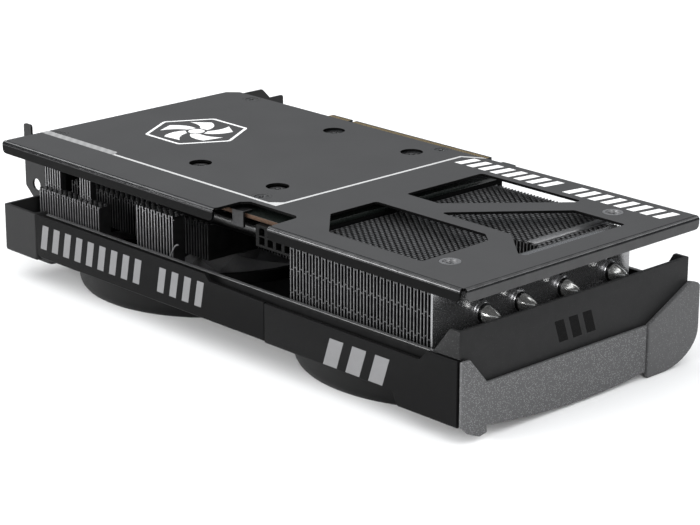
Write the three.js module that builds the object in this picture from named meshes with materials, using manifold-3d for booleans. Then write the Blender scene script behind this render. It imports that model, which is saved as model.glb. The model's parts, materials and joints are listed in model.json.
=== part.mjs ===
// A two-fan graphics card lying on its fans, backplate up, in millimetres.
//
// The dimensions below are stated in the card's own layout frame:
//   x runs along the card, from the backplate's bracket end (0) to the tail,
//   y runs across it, from the crest edge (0), where the power plug goes in, to the slot edge,
//   z is the height above the surface that the two fan rings stand on.
// The exported group moves that frame so that its origin is the middle of the footprint.
import * as THREE from 'three';
import { mergeVertices } from 'three/addons/utils/BufferGeometryUtils.js';
import Module from 'manifold-3d';

const wasm = await Module();
wasm.setup();

// ---------------------------------------------------------------- driving dimensions

const GAP = 0.3;                       // clearance left between pieces that touch

const BACKPLATE = { length: 236, width: 112.6, top: 50, thickness: 1, flangeBottom: 45.5, bend: 1.4 };
const CREST_Y = -2.2;                  // outer face of the side bands
const BAND_THICKNESS = 1.4;
const TAIL_X = 237.8;                  // outer face of the tail trim
const WALL_TOP = 27;                   // top of the shroud's walls
const SHROUD_FLOOR = { bottom: 10, top: 12 };
const FLANGE = 1.6;                    // how far each fan ring reaches under the shroud's floor

// Board, edge connector and bracket follow the add-in card standard.
const BRACKET_X = 2;                   // outer face of the bracket
const BRACKET = { thickness: 0.9, height: 120.02, flangeY: 16.6, flangeLength: 11.43, slotPitch: 20.32,
                  plateWidth: 18.42, tongueWidth: 10.16, tongueLength: 7, prongRise: 3.3 };
const BRACKET_TOP = 48.7;              // edge of the bracket's plate on the backplate's side
const BOARD = { x0: BRACKET_X + 1.4, x1: 149.5, y0: 11.8, y1: 115, bottom: 45.4, thickness: 1.57 };
const EDGE_CONNECTOR = {
  keyFromBracket: 57.15, keyWidth: 1.9, shortLength: 11.15, longLength: 71.65, tipY: 123.2,
};

const GPU = { x: 93.4, y: 66.7, package: 36, packageHeight: 1.2, die: 20, dieHeight: 0.7,
              screwX: 20.6, screwY: 32.6 };

const PIPE = { radius: 3, sides: 8, pitchOnPlate: 7, coldZ: 35.5, finZ: 32.4, endX: 226 };
const PIPE_ROWS = [26.5, 43.5, 64, 87.5].map((finY, i) => ({
  finY,                                // where each pipe runs through the tail fins
  coldY: GPU.y + (i - 1.5) * PIPE.pitchOnPlate,
}));
const FIN_BOTTOM = 18.6;
const FIN_THICKNESS = 0.6;
const TAIL_FINS = { x0: 152.5, x1: 217.6, y0: 5, y1: 97.5, bottom: FIN_BOTTOM, top: 45, count: 11,
                    wideTo: 207, wideY1: 103.5 };   // all but the last fins reach further to the slot side
const BRACKET_FINS = { x0: 9, x1: 119, y0: 24.5, y1: 99, bottom: FIN_BOTTOM, top: 32, count: 19,
                       setBackFrom: 88, setBackY0: 47 };  // the fins beside the cold plate start further in
const TALL_FINS = {                    // two groups that stand up to the board behind the corner block
  y0: 12.4, y1: 15, top: 44.8, groups: [{ from: 9, to: 18, count: 3 }, { from: 30, to: 36, count: 3 }],
};
const CREST_SPAN = { y0: 9.6, y1: 15, bottom: FIN_BOTTOM };
const CREST_FINS = [                   // two short fin blocks towards the crest
  { name: 'fin_block_crest_corner', x0: 9, x1: 44.2, top: 32.2, count: 12, ...CREST_SPAN },
  { name: 'fin_block_crest_middle', x0: 66.4, x1: 86.2, top: 38, count: 7, ...CREST_SPAN },
];

const FAN = { y: 53, radius: 44.8, hubRadius: 19, hubBottom: 2.2, hubTop: 13.6, blades: 9, shaftRadius: 1.5,
              ringInner: 46.4, ringTop: 16 };
const FANS = [                         // each ring's bowl is set off from its bore
  { name: 'bracket_end', x: 58, bowlY: 52.2, bowlRadius: 49.8 },
  { name: 'tail_end', x: 177.4, bowlY: 56.6, bowlRadius: 54.2 },
];

const FOOTPRINT = {
  x: [BRACKET_X - BRACKET.flangeLength, TAIL_X + 0.7],
  y: [CREST_Y, BRACKET.flangeY + BRACKET.height],
};

// ---------------------------------------------------------------- materials

const finish = (color, roughness, metalness) =>
  new THREE.MeshStandardMaterial({ color, roughness, metalness });
const MATERIAL = {
  backplate: finish(0x3a3a3c, 0.45, 0.6),
  shroud: finish(0x242426, 0.55, 0.05),
  band: finish(0x2b2b2d, 0.5, 0.05),
  trim: finish(0x626264, 0.6, 0.2),
  fan: finish(0x1e1e20, 0.45, 0.05),
  motor: finish(0x2a2a2c, 0.6, 0.1),
  bracket: finish(0x1c1c1e, 0.4, 0.8),
  port: finish(0xa8a8ac, 0.3, 0.9),
  board: finish(0x0d0f0e, 0.6, 0.05),
  chip: finish(0x151516, 0.5, 0.05),
  die: finish(0x50565e, 0.15, 0.8),
  choke: finish(0x3c3d40, 0.55, 0.4),
  connector: finish(0x101011, 0.5, 0.0),
  nickel: finish(0xc4c4c6, 0.2, 0.95),
  fin: finish(0x8c8d90, 0.35, 0.9),
  screw: finish(0x8a8b8e, 0.3, 0.9),
  steel: finish(0xb8b8ba, 0.25, 0.95),
  cable: finish(0x121213, 0.6, 0.0),
};

// ---------------------------------------------------------------- solids

// A closed three.js geometry as a manifold-3d solid.
function solid(geometry) {
  const bare = geometry.index ? geometry.toNonIndexed() : geometry.clone();
  for (const attribute of ['normal', 'uv']) bare.deleteAttribute(attribute);
  const merged = mergeVertices(bare, 1e-4);
  return new wasm.Manifold(new wasm.Mesh({
    numProp: 3,
    vertProperties: new Float32Array(merged.attributes.position.array),
    triVerts: new Uint32Array(merged.index.array),
  }));
}

function geometryOf(made) {
  const mesh = made.getMesh();
  return new THREE.BufferGeometry()
    .setAttribute('position', new THREE.BufferAttribute(new Float32Array(mesh.vertProperties), 3))
    .setIndex(new THREE.BufferAttribute(new Uint32Array(mesh.triVerts), 1));
}

const join = (solids) => solids.reduce((all, next) => all.add(next));
const cut = (body, tools) => tools.reduce((left, tool) => left.subtract(tool), body);

function block(x0, x1, y0, y1, z0, z1) {
  return solid(new THREE.BoxGeometry(x1 - x0, y1 - y0, z1 - z0)
    .translate((x0 + x1) / 2, (y0 + y1) / 2, (z0 + z1) / 2));
}

// A straight-sided outline of [a, b] points, extruded from one level to another along z.
function plate(outline, z0, z1) {
  const shape = new THREE.Shape(outline.map(([a, b]) => new THREE.Vector2(a, b)));
  return solid(new THREE.ExtrudeGeometry(shape, { depth: z1 - z0, bevelEnabled: false }).translate(0, 0, z0));
}

// The same for an outline of [y, z] points extruded along x.
function plateAcross(outline, x0, x1) {
  const shape = new THREE.Shape(outline.map(([a, b]) => new THREE.Vector2(a, b)));
  const turn = new THREE.Matrix4().makeBasis(
    new THREE.Vector3(0, 1, 0), new THREE.Vector3(0, 0, 1), new THREE.Vector3(1, 0, 0));
  return solid(new THREE.ExtrudeGeometry(shape, { depth: x1 - x0, bevelEnabled: false })
    .applyMatrix4(turn).translate(x0, 0, 0));
}

// The same for an outline of [x, z] points extruded along y.
function plateAlong(outline, y0, y1) {
  const shape = new THREE.Shape(outline.map(([a, b]) => new THREE.Vector2(a, b)));
  const turn = new THREE.Matrix4().makeBasis(
    new THREE.Vector3(1, 0, 0), new THREE.Vector3(0, 0, 1), new THREE.Vector3(0, -1, 0));
  return solid(new THREE.ExtrudeGeometry(shape, { depth: y1 - y0, bevelEnabled: false })
    .applyMatrix4(turn).translate(0, y1, 0));
}

// A solid turned about a vertical axis at (x, y) from a closed profile of [radius, z] points.
function turned(x, y, profile, sides) {
  const points = profile.map(([r, z]) => new THREE.Vector2(r, z));
  return solid(new THREE.LatheGeometry(points, sides).rotateX(Math.PI / 2).translate(x, y, 0));
}

function post(x, y, radius, z0, z1, sides = 16) {
  return solid(new THREE.CylinderGeometry(radius, radius, z1 - z0, sides)
    .rotateX(Math.PI / 2).translate(x, y, (z0 + z1) / 2));
}

function rodAcross(x, z, radius, y0, y1, sides = 12) {
  return solid(new THREE.CylinderGeometry(radius, radius, y1 - y0, sides).translate(x, (y0 + y1) / 2, z));
}

// A round bar along a smooth line through the points.
function bar(points, radius, sides, steps) {
  const section = new THREE.Shape(Array.from({ length: sides }, (_, i) => {
    const angle = (2 * Math.PI * (i + 0.5)) / sides;
    return new THREE.Vector2(radius * Math.cos(angle), radius * Math.sin(angle));
  }));
  const path = new THREE.CatmullRomCurve3(points.map((p) => new THREE.Vector3(...p)), false, 'centripetal');
  return solid(new THREE.ExtrudeGeometry(section, { extrudePath: path, steps, bevelEnabled: false }));
}

const card = new THREE.Group();

function add(name, material, made) {
  const mesh = new THREE.Mesh(geometryOf(made), MATERIAL[material]);
  mesh.name = name;
  card.add(mesh);
}

// ---------------------------------------------------------------- backplate and its screws

const SCREW_PLACES = [[5.6, 21.8], [15.6, 108.6], [119.3, 22], [119.2, 109.4], [213.3, 95], [213.2, 17.5]];
const RETENTION_PLACES = [-1, 1].flatMap((i) => [-1, 1].map((j) =>
  [GPU.x + i * GPU.screwX, GPU.y + j * GPU.screwY]));

const POWER_NOTCH = [[119.2, -5], [119.2, 12.4], [121.6, 15.2], [144.4, 15.2], [146.2, 13.6], [147.2, -5]];
const VENTS = [
  [[150.5, 25], [150.5, 46.3], [201, 46.3], [206.4, 42], [207.4, 11], [164.8, 11]],
  [[151, 60], [151, 97.4], [197, 97.4], [197, 94.6], [166.5, 60]],
  [[174, 52.6], [203.2, 87.4], [225.3, 87.4], [225.3, 38.8], [222.4, 38.8], [207.1, 52.2]],
];

function backplate() {
  const { length, width, top, thickness, flangeBottom, bend } = BACKPLATE;
  const corner = 5;
  // The sheet with its crest flange, as a section across the card, then the tail flange.
  const crestSection = [
    [0, flangeBottom], [thickness, flangeBottom], [thickness, top - thickness], [width, top - thickness],
    [width, top], [bend, top], [bend * 0.3, top - bend * 0.3], [0, top - bend],
  ];
  const sheet = plateAcross(crestSection, 0, length);
  const tailFlange = plateAlong([
    [length - thickness, flangeBottom], [length, flangeBottom], [length, top - bend],
    [length - bend * 0.3, top - bend * 0.3], [length - bend, top], [length - bend, top - thickness],
    [length - thickness, top - thickness],
  ], 0, width);
  const farCorner = plate([[-1, width - corner], [-1, width + 1], [corner, width + 1]], 40, top + 1);
  const relief = plate([[length - 1.9, -1], [length - 1.9, 0.9], [length - 0.9, 1.9], [length + 1, 1.9],
    [length + 1, -1]], 40, top - 1.2);
  const holes = [
    ...SCREW_PLACES.map(([x, y]) => post(x, y, 3.6, 40, top + 1, 12)),
    ...RETENTION_PLACES.map(([x, y]) => post(x, y, 4.1, 40, top + 1, 12)),
    ...VENTS.map((outline) => plate(outline, 40, top + 1)),
    plate(POWER_NOTCH, 40, top + 1),
  ];
  add('backplate', 'backplate', cut(sheet.add(tailFlange), [farCorner, relief, ...holes]));
}

function backplateScrews() {
  const { top } = BACKPLATE;
  SCREW_PLACES.forEach(([x, y], i) => {
    const head = [[0, top - 4.6], [1.2, top - 4.6], [1.2, top - 2.2], [3.3, top - 0.5], [3.3, top - 0.1],
      [2, top - 0.1], [1.4, top - 0.8], [0, top - 0.8]];
    // Over the board the shank stops above it; over the fins it stops above them.
    const shank = head.map(([r, z]) => [r, Math.max(z, BOARD.bottom + BOARD.thickness + GAP)]);
    add(`backplate_screw_${i + 1}`, 'screw', turned(x, y, shank, 10));
  });
}

// ---------------------------------------------------------------- board and what is soldered to it

function board() {
  const { x0, x1, y0, y1, bottom, thickness } = BOARD;
  const key = BRACKET_X + EDGE_CONNECTOR.keyFromBracket;
  const half = EDGE_CONNECTOR.keyWidth / 2;
  const { shortLength, longLength, tipY } = EDGE_CONNECTOR;
  const outline = [
    [x0, y0], [x1, y0], [x1, y1], [145, y1], [145, tipY - 1.5], [138.5, tipY - 1.5],
    [138.5, y1 + 3], [136, y1],
    [key + half + longLength, y1], [key + half + longLength, tipY], [key + half, tipY], [key + half, y1],
    [key - half, y1], [key - half, tipY], [key - half - shortLength, tipY],
    [key - half - shortLength, y1], [x0, y1],
  ];
  const holes = RETENTION_PLACES.map(([x, y]) => post(x, y, 2.2, 40, 50, 12));
  add('circuit_board', 'board', cut(plate(outline, bottom, bottom + thickness), holes));
}

function chips() {
  const under = BOARD.bottom - GAP;
  const square = (x, y, side, height) =>
    block(x - side / 2, x + side / 2, y - side / 2, y + side / 2, under - height, under);
  add('gpu_package', 'chip', square(GPU.x, GPU.y, GPU.package, GPU.packageHeight));
  const dieTop = under - GPU.packageHeight - GAP;
  const half = GPU.die / 2;
  add('gpu_die', 'die', block(GPU.x - half, GPU.x + half, GPU.y - half, GPU.y + half,
    dieTop - GPU.dieHeight, dieTop));

  // Memory stands along three sides of the package, two chips to a side.
  const away = GPU.package / 2 + 9.5;
  const places = [[-9, -away], [9, -away], [away, -9], [away, 9], [-9, away], [9, away]];
  places.forEach(([dx, dy], i) => {
    const [w, d] = Math.abs(dy) > Math.abs(dx) ? [12, 14] : [14, 12];
    add(`memory_chip_${i + 1}`, 'chip', block(GPU.x + dx - w / 2, GPU.x + dx + w / 2,
      GPU.y + dy - d / 2, GPU.y + dy + d / 2, under - 1.1, under));
  });

  for (let i = 0; i < 4; i += 1) {
    const y = 34 + i * 17;
    add(`choke_${i + 1}`, 'choke', block(42, 50, y - 4.5, y + 4.5, under - 5, under));
  }
}

function powerConnector() {
  const top = BOARD.bottom - GAP;
  const body = block(130.2, 149, 9.6, 22.4, top - 7.6, top);
  const socket = block(131.2, 148, 9, 19, top - 6.7, top - 0.9);
  add('power_connector', 'connector', cut(body, [socket]));
  // A bent metal clip that hooks over the board's edge.
  const boardTop = BOARD.bottom + BOARD.thickness;
  const front = block(118, 123.6, 9.9, 10.9, 42.2, boardTop + 1);
  const hook = block(118, 123.6, 9.9, 14.2, boardTop + GAP, boardTop + 1);
  add('connector_clip', 'steel', join([front, hook]));
}

// ---------------------------------------------------------------- bracket and its ports

const PORTS = [
  { name: 'display_port_1', y: 40, width: 16.9, height: 5.7 },
  { name: 'display_port_2', y: 62, width: 16.9, height: 5.7 },
  { name: 'hdmi_port', y: 82, width: 15, height: 5.5 },
  { name: 'display_port_3', y: 102, width: 16.9, height: 5.7 },
];
const PORT_TOP = BOARD.bottom - GAP;

function bracket() {
  const { thickness, height, flangeY, flangeLength, slotPitch, plateWidth, tongueWidth, tongueLength,
    prongRise } = BRACKET;
  const width = plateWidth + slotPitch;
  const low = BRACKET_TOP - width;
  const end = flangeY + height;
  const taperEnd = end - tongueLength;
  const step = (plateWidth - tongueWidth) / 2;
  const taperStart = taperEnd - step;
  // The face plate narrows to one tongue for each of its two slots.
  const tongue = (top) => [[taperStart, top], [taperEnd, top - step], [end, top - step],
    [end, top - step - tongueWidth], [taperEnd, top - step - tongueWidth], [taperStart, top - plateWidth]];
  const face = plateAcross([[flangeY, low], [flangeY, BRACKET_TOP], ...tongue(BRACKET_TOP),
    ...tongue(BRACKET_TOP - slotPitch), [taperStart, low]], BRACKET_X, BRACKET_X + thickness);

  const out = BRACKET_X - flangeLength;
  const flange = plateAlong([
    [out, low + 18], [out + 4.6, low + 14], [BRACKET_X + thickness, low + 14],
    [BRACKET_X + thickness, BRACKET_TOP], [-0.4, BRACKET_TOP], [-0.4, BRACKET_TOP - 1.4],
    [-4.8, BRACKET_TOP - 1.4], [-4.8, BRACKET_TOP + prongRise - 0.6], [-5.4, BRACKET_TOP + prongRise],
    [out + 0.6, BRACKET_TOP + prongRise], [out, BRACKET_TOP + prongRise - 0.6],
  ], flangeY, flangeY + thickness);
  const screwHole = rodAcross(-2.6, BRACKET_TOP - slotPitch + 1, 2.3, flangeY - 1, flangeY + 2);

  const portHoles = PORTS.map(({ y, width: w, height: h }) =>
    block(0, 5, y - w / 2 - GAP, y + w / 2 + GAP, PORT_TOP - h - GAP, PORT_TOP + GAP));
  const vents = [30, 45, 60, 75, 90, 105].map((y) =>
    plateAcross([[y, low + 5], [y + 9, low + 5], [y + 11, low + 12], [y + 2, low + 12]], 0, 5));
  add('io_bracket', 'bracket', cut(face.add(flange), [screwHole, ...portHoles, ...vents]));
}

function ports() {
  const wall = 0.5;
  const depth = 14;
  PORTS.forEach(({ name, y, width, height }) => {
    const x0 = BRACKET_X + 0.2;
    const shell = block(x0, x0 + depth, y - width / 2, y + width / 2, PORT_TOP - height, PORT_TOP);
    const mouth = block(0, x0 + depth - 4, y - width / 2 + wall, y + width / 2 - wall,
      PORT_TOP - height + wall, PORT_TOP - wall);
    add(name, 'port', cut(shell, [mouth]));
  });
}

function bracketScrews() {
  const z = BRACKET_TOP - 30;
  [22.5, 118].forEach((y, i) => {
    const profile = [[0, 0], [2.6, 0], [2.6, 1.4], [1.8, 2], [0, 2]].map(([r, h]) => new THREE.Vector2(r, h));
    const head = solid(new THREE.LatheGeometry(profile, 12).rotateZ(Math.PI / 2)
      .translate(BRACKET_X - GAP, y, z));
    add(`bracket_screw_${i + 1}`, 'screw', head);
  });
}

// ---------------------------------------------------------------- cooler

const COLD_PLATE_TOP = BOARD.bottom - 2 * GAP - GPU.packageHeight - GPU.dieHeight - GAP;
const COLD_PLATE = { x0: GPU.x - 22, x1: GPU.x + 22, y0: GPU.y - 27, y1: GPU.y + 27 };

function coldPlate() {
  const { x0, x1, y0, y1 } = COLD_PLATE;
  const bottom = PIPE.coldZ + PIPE.radius + GAP;
  const slab = block(x0, x1, y0, y1, bottom, COLD_PLATE_TOP);
  const holes = RETENTION_PLACES.map(([x, y]) => post(x, y, 2, 30, 50, 12));
  const lugs = RETENTION_PLACES.map(([x, y]) =>
    block(x - 4, x + 4, Math.min(y, GPU.y), Math.max(y, GPU.y), bottom, COLD_PLATE_TOP)
      .add(post(x, y, 4.5, bottom, COLD_PLATE_TOP)));
  add('cold_plate', 'nickel', cut(join([slab, ...lugs]), holes));
}

function heatPipes() {
  const { radius, sides, coldZ, finZ, endX } = PIPE;
  const startX = GPU.x - 24;
  PIPE_ROWS.forEach(({ coldY, finY }, i) => {
    // The first pipe leaves the cold plate backwards and turns round towards the crest.
    const turn = (coldY - finY) / 2;
    const arc = Array.from({ length: 7 }, (_, n) => {
      const angle = Math.PI / 2 + (Math.PI * n) / 6;
      return [66 + turn * Math.cos(angle), finY + turn + turn * Math.sin(angle), coldZ];
    });
    const lead = i === 0
      ? [[GPU.x + 22, coldY, coldZ], [GPU.x, coldY, coldZ], ...arc, [100, finY, coldZ]]
      : [[startX, coldY, coldZ], [GPU.x + 16, coldY, coldZ]];
    const points = [...lead, [GPU.x + 27, i === 0 ? finY : coldY + (finY - coldY) * 0.12, coldZ],
      [144, finY, finZ + 0.4], [152, finY, finZ], [endX - 22, finY, finZ], [endX - 5, finY, finZ]];
    const tube = bar(points, radius, sides, i === 0 ? 30 : 16);
    // The end is crimped to a blunt cone.
    const tip = solid(new THREE.CylinderGeometry(0.7, radius, 5.6, sides, 1, false, Math.PI / sides)
      .rotateZ(-Math.PI / 2).translate(endX - 5.2 + 2.8, finY, finZ));
    add(`heat_pipe_${i + 1}`, 'nickel', tube.add(tip));
  });
}

// Parallel fins across x. A stack is [y0, y1] wide, or as reach(x) says. Each tab is a strip at [y, z] that
// ties the fins together.
function finStack({ x0, x1, y0, y1, bottom, top, count }, tabs, reach = () => [y0, y1]) {
  const pitch = (x1 - x0 - FIN_THICKNESS) / (count - 1);
  const fins = Array.from({ length: count }, (_, i) => {
    const x = x0 + i * pitch;
    return block(x, x + FIN_THICKNESS, ...reach(x), bottom, top);
  });
  const strips = tabs.map(([y, z]) => block(x0, x1, y, y + 1, z, z + 0.8));
  return join([...fins, ...strips]);
}

function fins() {
  const near = BRACKET_FINS;
  const stackReach = (x) => [x < near.setBackFrom ? near.y0 : near.setBackY0, near.y1];
  const nearStack = finStack(near, [[near.setBackY0, near.bottom], [near.y1 - 1, near.bottom]], stackReach);
  add('fin_stack_bracket_end', 'fin', nearStack);

  const tall = TALL_FINS.groups.map(({ from, to, count }) => finStack(
    { ...TALL_FINS, x0: from, x1: to, bottom: near.bottom, count }, [[TALL_FINS.y1 - 1, near.bottom]]));
  CREST_FINS.forEach((stack, i) => {
    const low = finStack(stack, [[stack.y0, stack.top - 0.8], [stack.y1 - 1, stack.bottom]]);
    add(stack.name, 'fin', i === 0 ? join([low, ...tall]) : low);
  });

  const tail = TAIL_FINS;
  const sleeves = PIPE_ROWS.map(({ finY }) =>
    solid(new THREE.CylinderGeometry(PIPE.radius + 0.4, PIPE.radius + 0.4, 90, PIPE.sides, 1, false,
      Math.PI / PIPE.sides).rotateZ(-Math.PI / 2).translate(tail.x0 + 40, finY, PIPE.finZ)));
  const tailReach = (x) => [tail.y0, x < tail.wideTo ? tail.wideY1 : tail.y1];
  const stack = finStack(tail, [[tail.y0, tail.bottom], [tail.y1 - 1, tail.top - 0.8]], tailReach);
  add('fin_stack_tail_end', 'fin', cut(stack, sleeves));

  const endX = tail.x1 + GAP;
  const endPlate = block(endX, endX + 0.8, tail.y0 - 0.6, tail.y1 + 0.5, tail.bottom, tail.top);
  const slots = PIPE_ROWS.map(({ finY }) => block(endX - 1, endX + 2, finY - 0.9, finY + 0.9,
    PIPE.finZ, PIPE.finZ + 6.4));
  add('fin_end_plate', 'fin', cut(endPlate, [...sleeves, ...slots]));
}

function retentionScrews() {
  const { bottom, thickness } = BOARD;
  const z = bottom + thickness + GAP;
  RETENTION_PLACES.forEach(([x, y], i) => {
    const low = COLD_PLATE_TOP - 2;
    const profile = [[0, low], [1.6, low], [1.6, z], [3.4, z], [3.4, z + 1.2],
      [2.8, z + 1.6], [1.2, z + 1.6], [0.9, z + 1], [0, z + 1]];
    add(`retention_screw_${i + 1}`, 'screw', turned(x, y, profile, 10));
  });
}

// ---------------------------------------------------------------- fans

const BLADE_MIDDLE = 8.2;              // level of the blades' middle line
const FAN_TURN = 5;                    // degrees that both rotors are turned at rest

// One swept, twisted blade: a flat strip bent along a helix from the hub to the tip.
function blade(angle) {
  const { radius, hubRadius } = FAN;
  const strip = new THREE.BoxGeometry(1, 1, 1, 4, 1, 1);
  const place = strip.getAttribute('position');
  const root = hubRadius - 1;
  for (let i = 0; i < place.count; i += 1) {
    const along = place.getX(i) + 0.5;
    const chord = place.getY(i);
    const r = root + along * (radius - root);
    const turn = angle + 0.55 * along + chord * (0.62 - 0.1 * along);
    const level = BLADE_MIDDLE + (10 - 1.4 * along) * chord + place.getZ(i) * (1.4 - 0.5 * along);
    place.setXYZ(i, r * Math.cos(turn), r * Math.sin(turn), level);
  }
  return solid(strip);
}

function fan({ name, x }) {
  const { y, hubRadius, hubBottom, hubTop, blades, shaftRadius } = FAN;
  const cup = turned(0, 0, [[0, hubBottom], [hubRadius - 1.6, hubBottom], [hubRadius, hubBottom + 1.6],
    [hubRadius, hubTop], [hubRadius - 1.4, hubTop], [hubRadius - 1.4, hubBottom + 2.4],
    [shaftRadius + GAP + 1.6, hubBottom + 2.4], [shaftRadius + GAP + 1.6, hubBottom + 4],
    [shaftRadius + GAP, hubBottom + 4], [shaftRadius + GAP, hubBottom + 1.4], [0, hubBottom + 1.4]], 16);
  const wheel = join([cup, ...Array.from({ length: blades }, (_, i) => blade((2 * Math.PI * i) / blades))]);
  add(`fan_rotor_${name}`, 'fan', wheel.rotate([0, 0, FAN_TURN]).translate([x, y, 0]));

  add(`fan_shaft_${name}`, 'steel', post(x, y, shaftRadius, hubBottom + 1.4 + GAP, hubTop + 1.4, 12));

  // The motor: a wound core on a bearing tube, carried by a base with four arms to the ring.
  const bore = shaftRadius + GAP;
  const motor = turned(x, y, [[bore, hubBottom + 4.8], [bore + 1.8, hubBottom + 4.8],
    [bore + 1.8, hubBottom + 5.4], [hubRadius - 2.4, hubBottom + 5.4], [hubRadius - 2.4, hubTop - 1.4],
    [bore + 1.8, hubTop - 1.4], [bore + 1.8, hubTop + 0.6], [hubRadius + 0.5, hubTop + 0.6],
    [hubRadius + 0.5, hubTop + 2.8], [0, hubTop + 2.8], [0, hubTop + 1.9], [bore, hubTop + 1.9],
    [bore, hubBottom + 4.8]], 16);
  const armLength = FAN.ringInner - GAP - hubRadius;
  const arms = Array.from({ length: 4 }, (_, i) =>
    solid(new THREE.BoxGeometry(armLength, 4, 1.8).translate(hubRadius + armLength / 2 - 0.2, 0, hubTop + 1.9)
      .rotateZ(0.35 + (i * Math.PI) / 2).translate(x, y, 0)));
  add(`fan_motor_${name}`, 'motor', join([motor, ...arms]));
}

// A cable from each motor goes under the fins to the slot side, along it, and up to a plug on the board.
function fanCables() {
  const low = FAN.hubTop + 3.9;
  const plug = { x: 136, y: 103, top: BOARD.bottom - GAP, height: 5 };
  FANS.forEach(({ name, x }) => {
    const { y } = FAN;
    const side = Math.sign(plug.x - x);
    const inward = side * 10;
    const end = plug.x - side * 2.4;
    add(`fan_cable_${name}`, 'cable', bar([
      [x + inward, y + 8, low], [x + 1.6 * inward, y + 24, low], [x + 2 * inward, y + 40, low],
      [x + 3.2 * inward, 102.6, low], [end - inward, 104.4, low + 1.5], [end, 104, low + 9],
      [end, plug.y, plug.top - plug.height - GAP],
    ], 0.9, 8, 22));
  });
  add('fan_cable_plug', 'connector',
    block(plug.x - 6, plug.x + 6, plug.y - 3.5, plug.y + 3.5, plug.top - plug.height, plug.top));
}

// ---------------------------------------------------------------- shroud, side bands and tail

function shroud() {
  const { bottom, top } = SHROUD_FLOOR;
  const wall = 1.6;
  const x0 = BRACKET_X + 1.4;
  const x1 = TAIL_X - 3.4;
  const y0 = CREST_Y + BAND_THICKNESS + GAP;
  const y1 = 111.5;
  const inner = y0 + 2.9;              // the crest side's wall stands back from the band
  const cornerCut = 6;
  const tray = (near, inset) => [[x0 + inset, near + inset], [x1 - inset, near + inset],
    [x1 - inset, y1 - cornerCut - inset], [x1 - cornerCut - inset, y1 - inset], [x0 + inset, y1 - inset]];
  const floor = plate(tray(y0, 0), bottom, top);
  const walls = cut(plate(tray(inner, 0), top - 1, WALL_TOP - 1),
    [plate(tray(inner, wall), top, WALL_TOP + 1)]);

  // The corner at the bracket end is a hollow box, open on top, with a foot beside it.
  const corner = block(BRACKET_X + 0.4, 21.6, CREST_Y, 14.6, 9, WALL_TOP);
  const hollow = join([block(BRACKET_X + 2, 20.2, CREST_Y + wall, 20, top, WALL_TOP + 1),
    block(BRACKET_X + 2, 25, inner + wall, 20, top, WALL_TOP + 1)]);
  const foot = block(BRACKET_X + 3, 28, y0, 12, 8.6, bottom + 1);
  const holes = FANS.map(({ x, bowlY, bowlRadius }) => post(x, bowlY, bowlRadius - FLANGE, 0, 20, 40));
  add('shroud_tray', 'shroud', cut(join([floor, walls, corner]).subtract(hollow).add(foot), holes));
}

// The fan rings hang below the floor by a flange, with their lower outer edge rounded.
function fanRing({ name, x, bowlY, bowlRadius: r }) {
  const under = SHROUD_FLOOR.bottom - GAP;
  const bowl = turned(x, bowlY, [[0, 0], [r - 2.2, 0], [r - 0.8, 1.4], [r, 4.5], [r, under],
    [r - FLANGE - GAP, under], [r - FLANGE - GAP, FAN.ringTop], [0, FAN.ringTop]], 40);
  add(`fan_ring_${name}`, 'shroud', cut(bowl, [post(x, FAN.y, FAN.ringInner, -1, FAN.ringTop + 1, 40)]));
}

// Side bands: flat strips along the crest edge, each a [x, z] outline.
function sideBands() {
  const high = WALL_TOP + 0.1;
  const dip = WALL_TOP - 2;
  const low = 11.7;
  const joint = 147.2;
  const inner = CREST_Y + BAND_THICKNESS;
  const first = plateAlong([[21.9, low + 0.6], [24, low - 1], [joint, low - 1], [joint, dip - 0.6],
    [119.4, dip], [117.3, high], [21.9, high]], CREST_Y, inner);
  const second = plateAlong([[joint + GAP, 10.2], [208, 10.2], [210, 5.6], [TAIL_X - 2, 5.6],
    [TAIL_X - 2, high + 0.6], [223.2, high + 0.6], [219.5, dip - 1], [joint + GAP, dip - 0.8]], CREST_Y, inner);
  add('side_band_bracket_end', 'band', first);
  add('side_band_tail_end', 'band', second);
}

const TAIL = {
  wallX: TAIL_X - 3, wallTop: 37, recess: 18.5, ledge: 28, nearStep: 9.6, farStep: 85.4, farY: 111.6,
};

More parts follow.
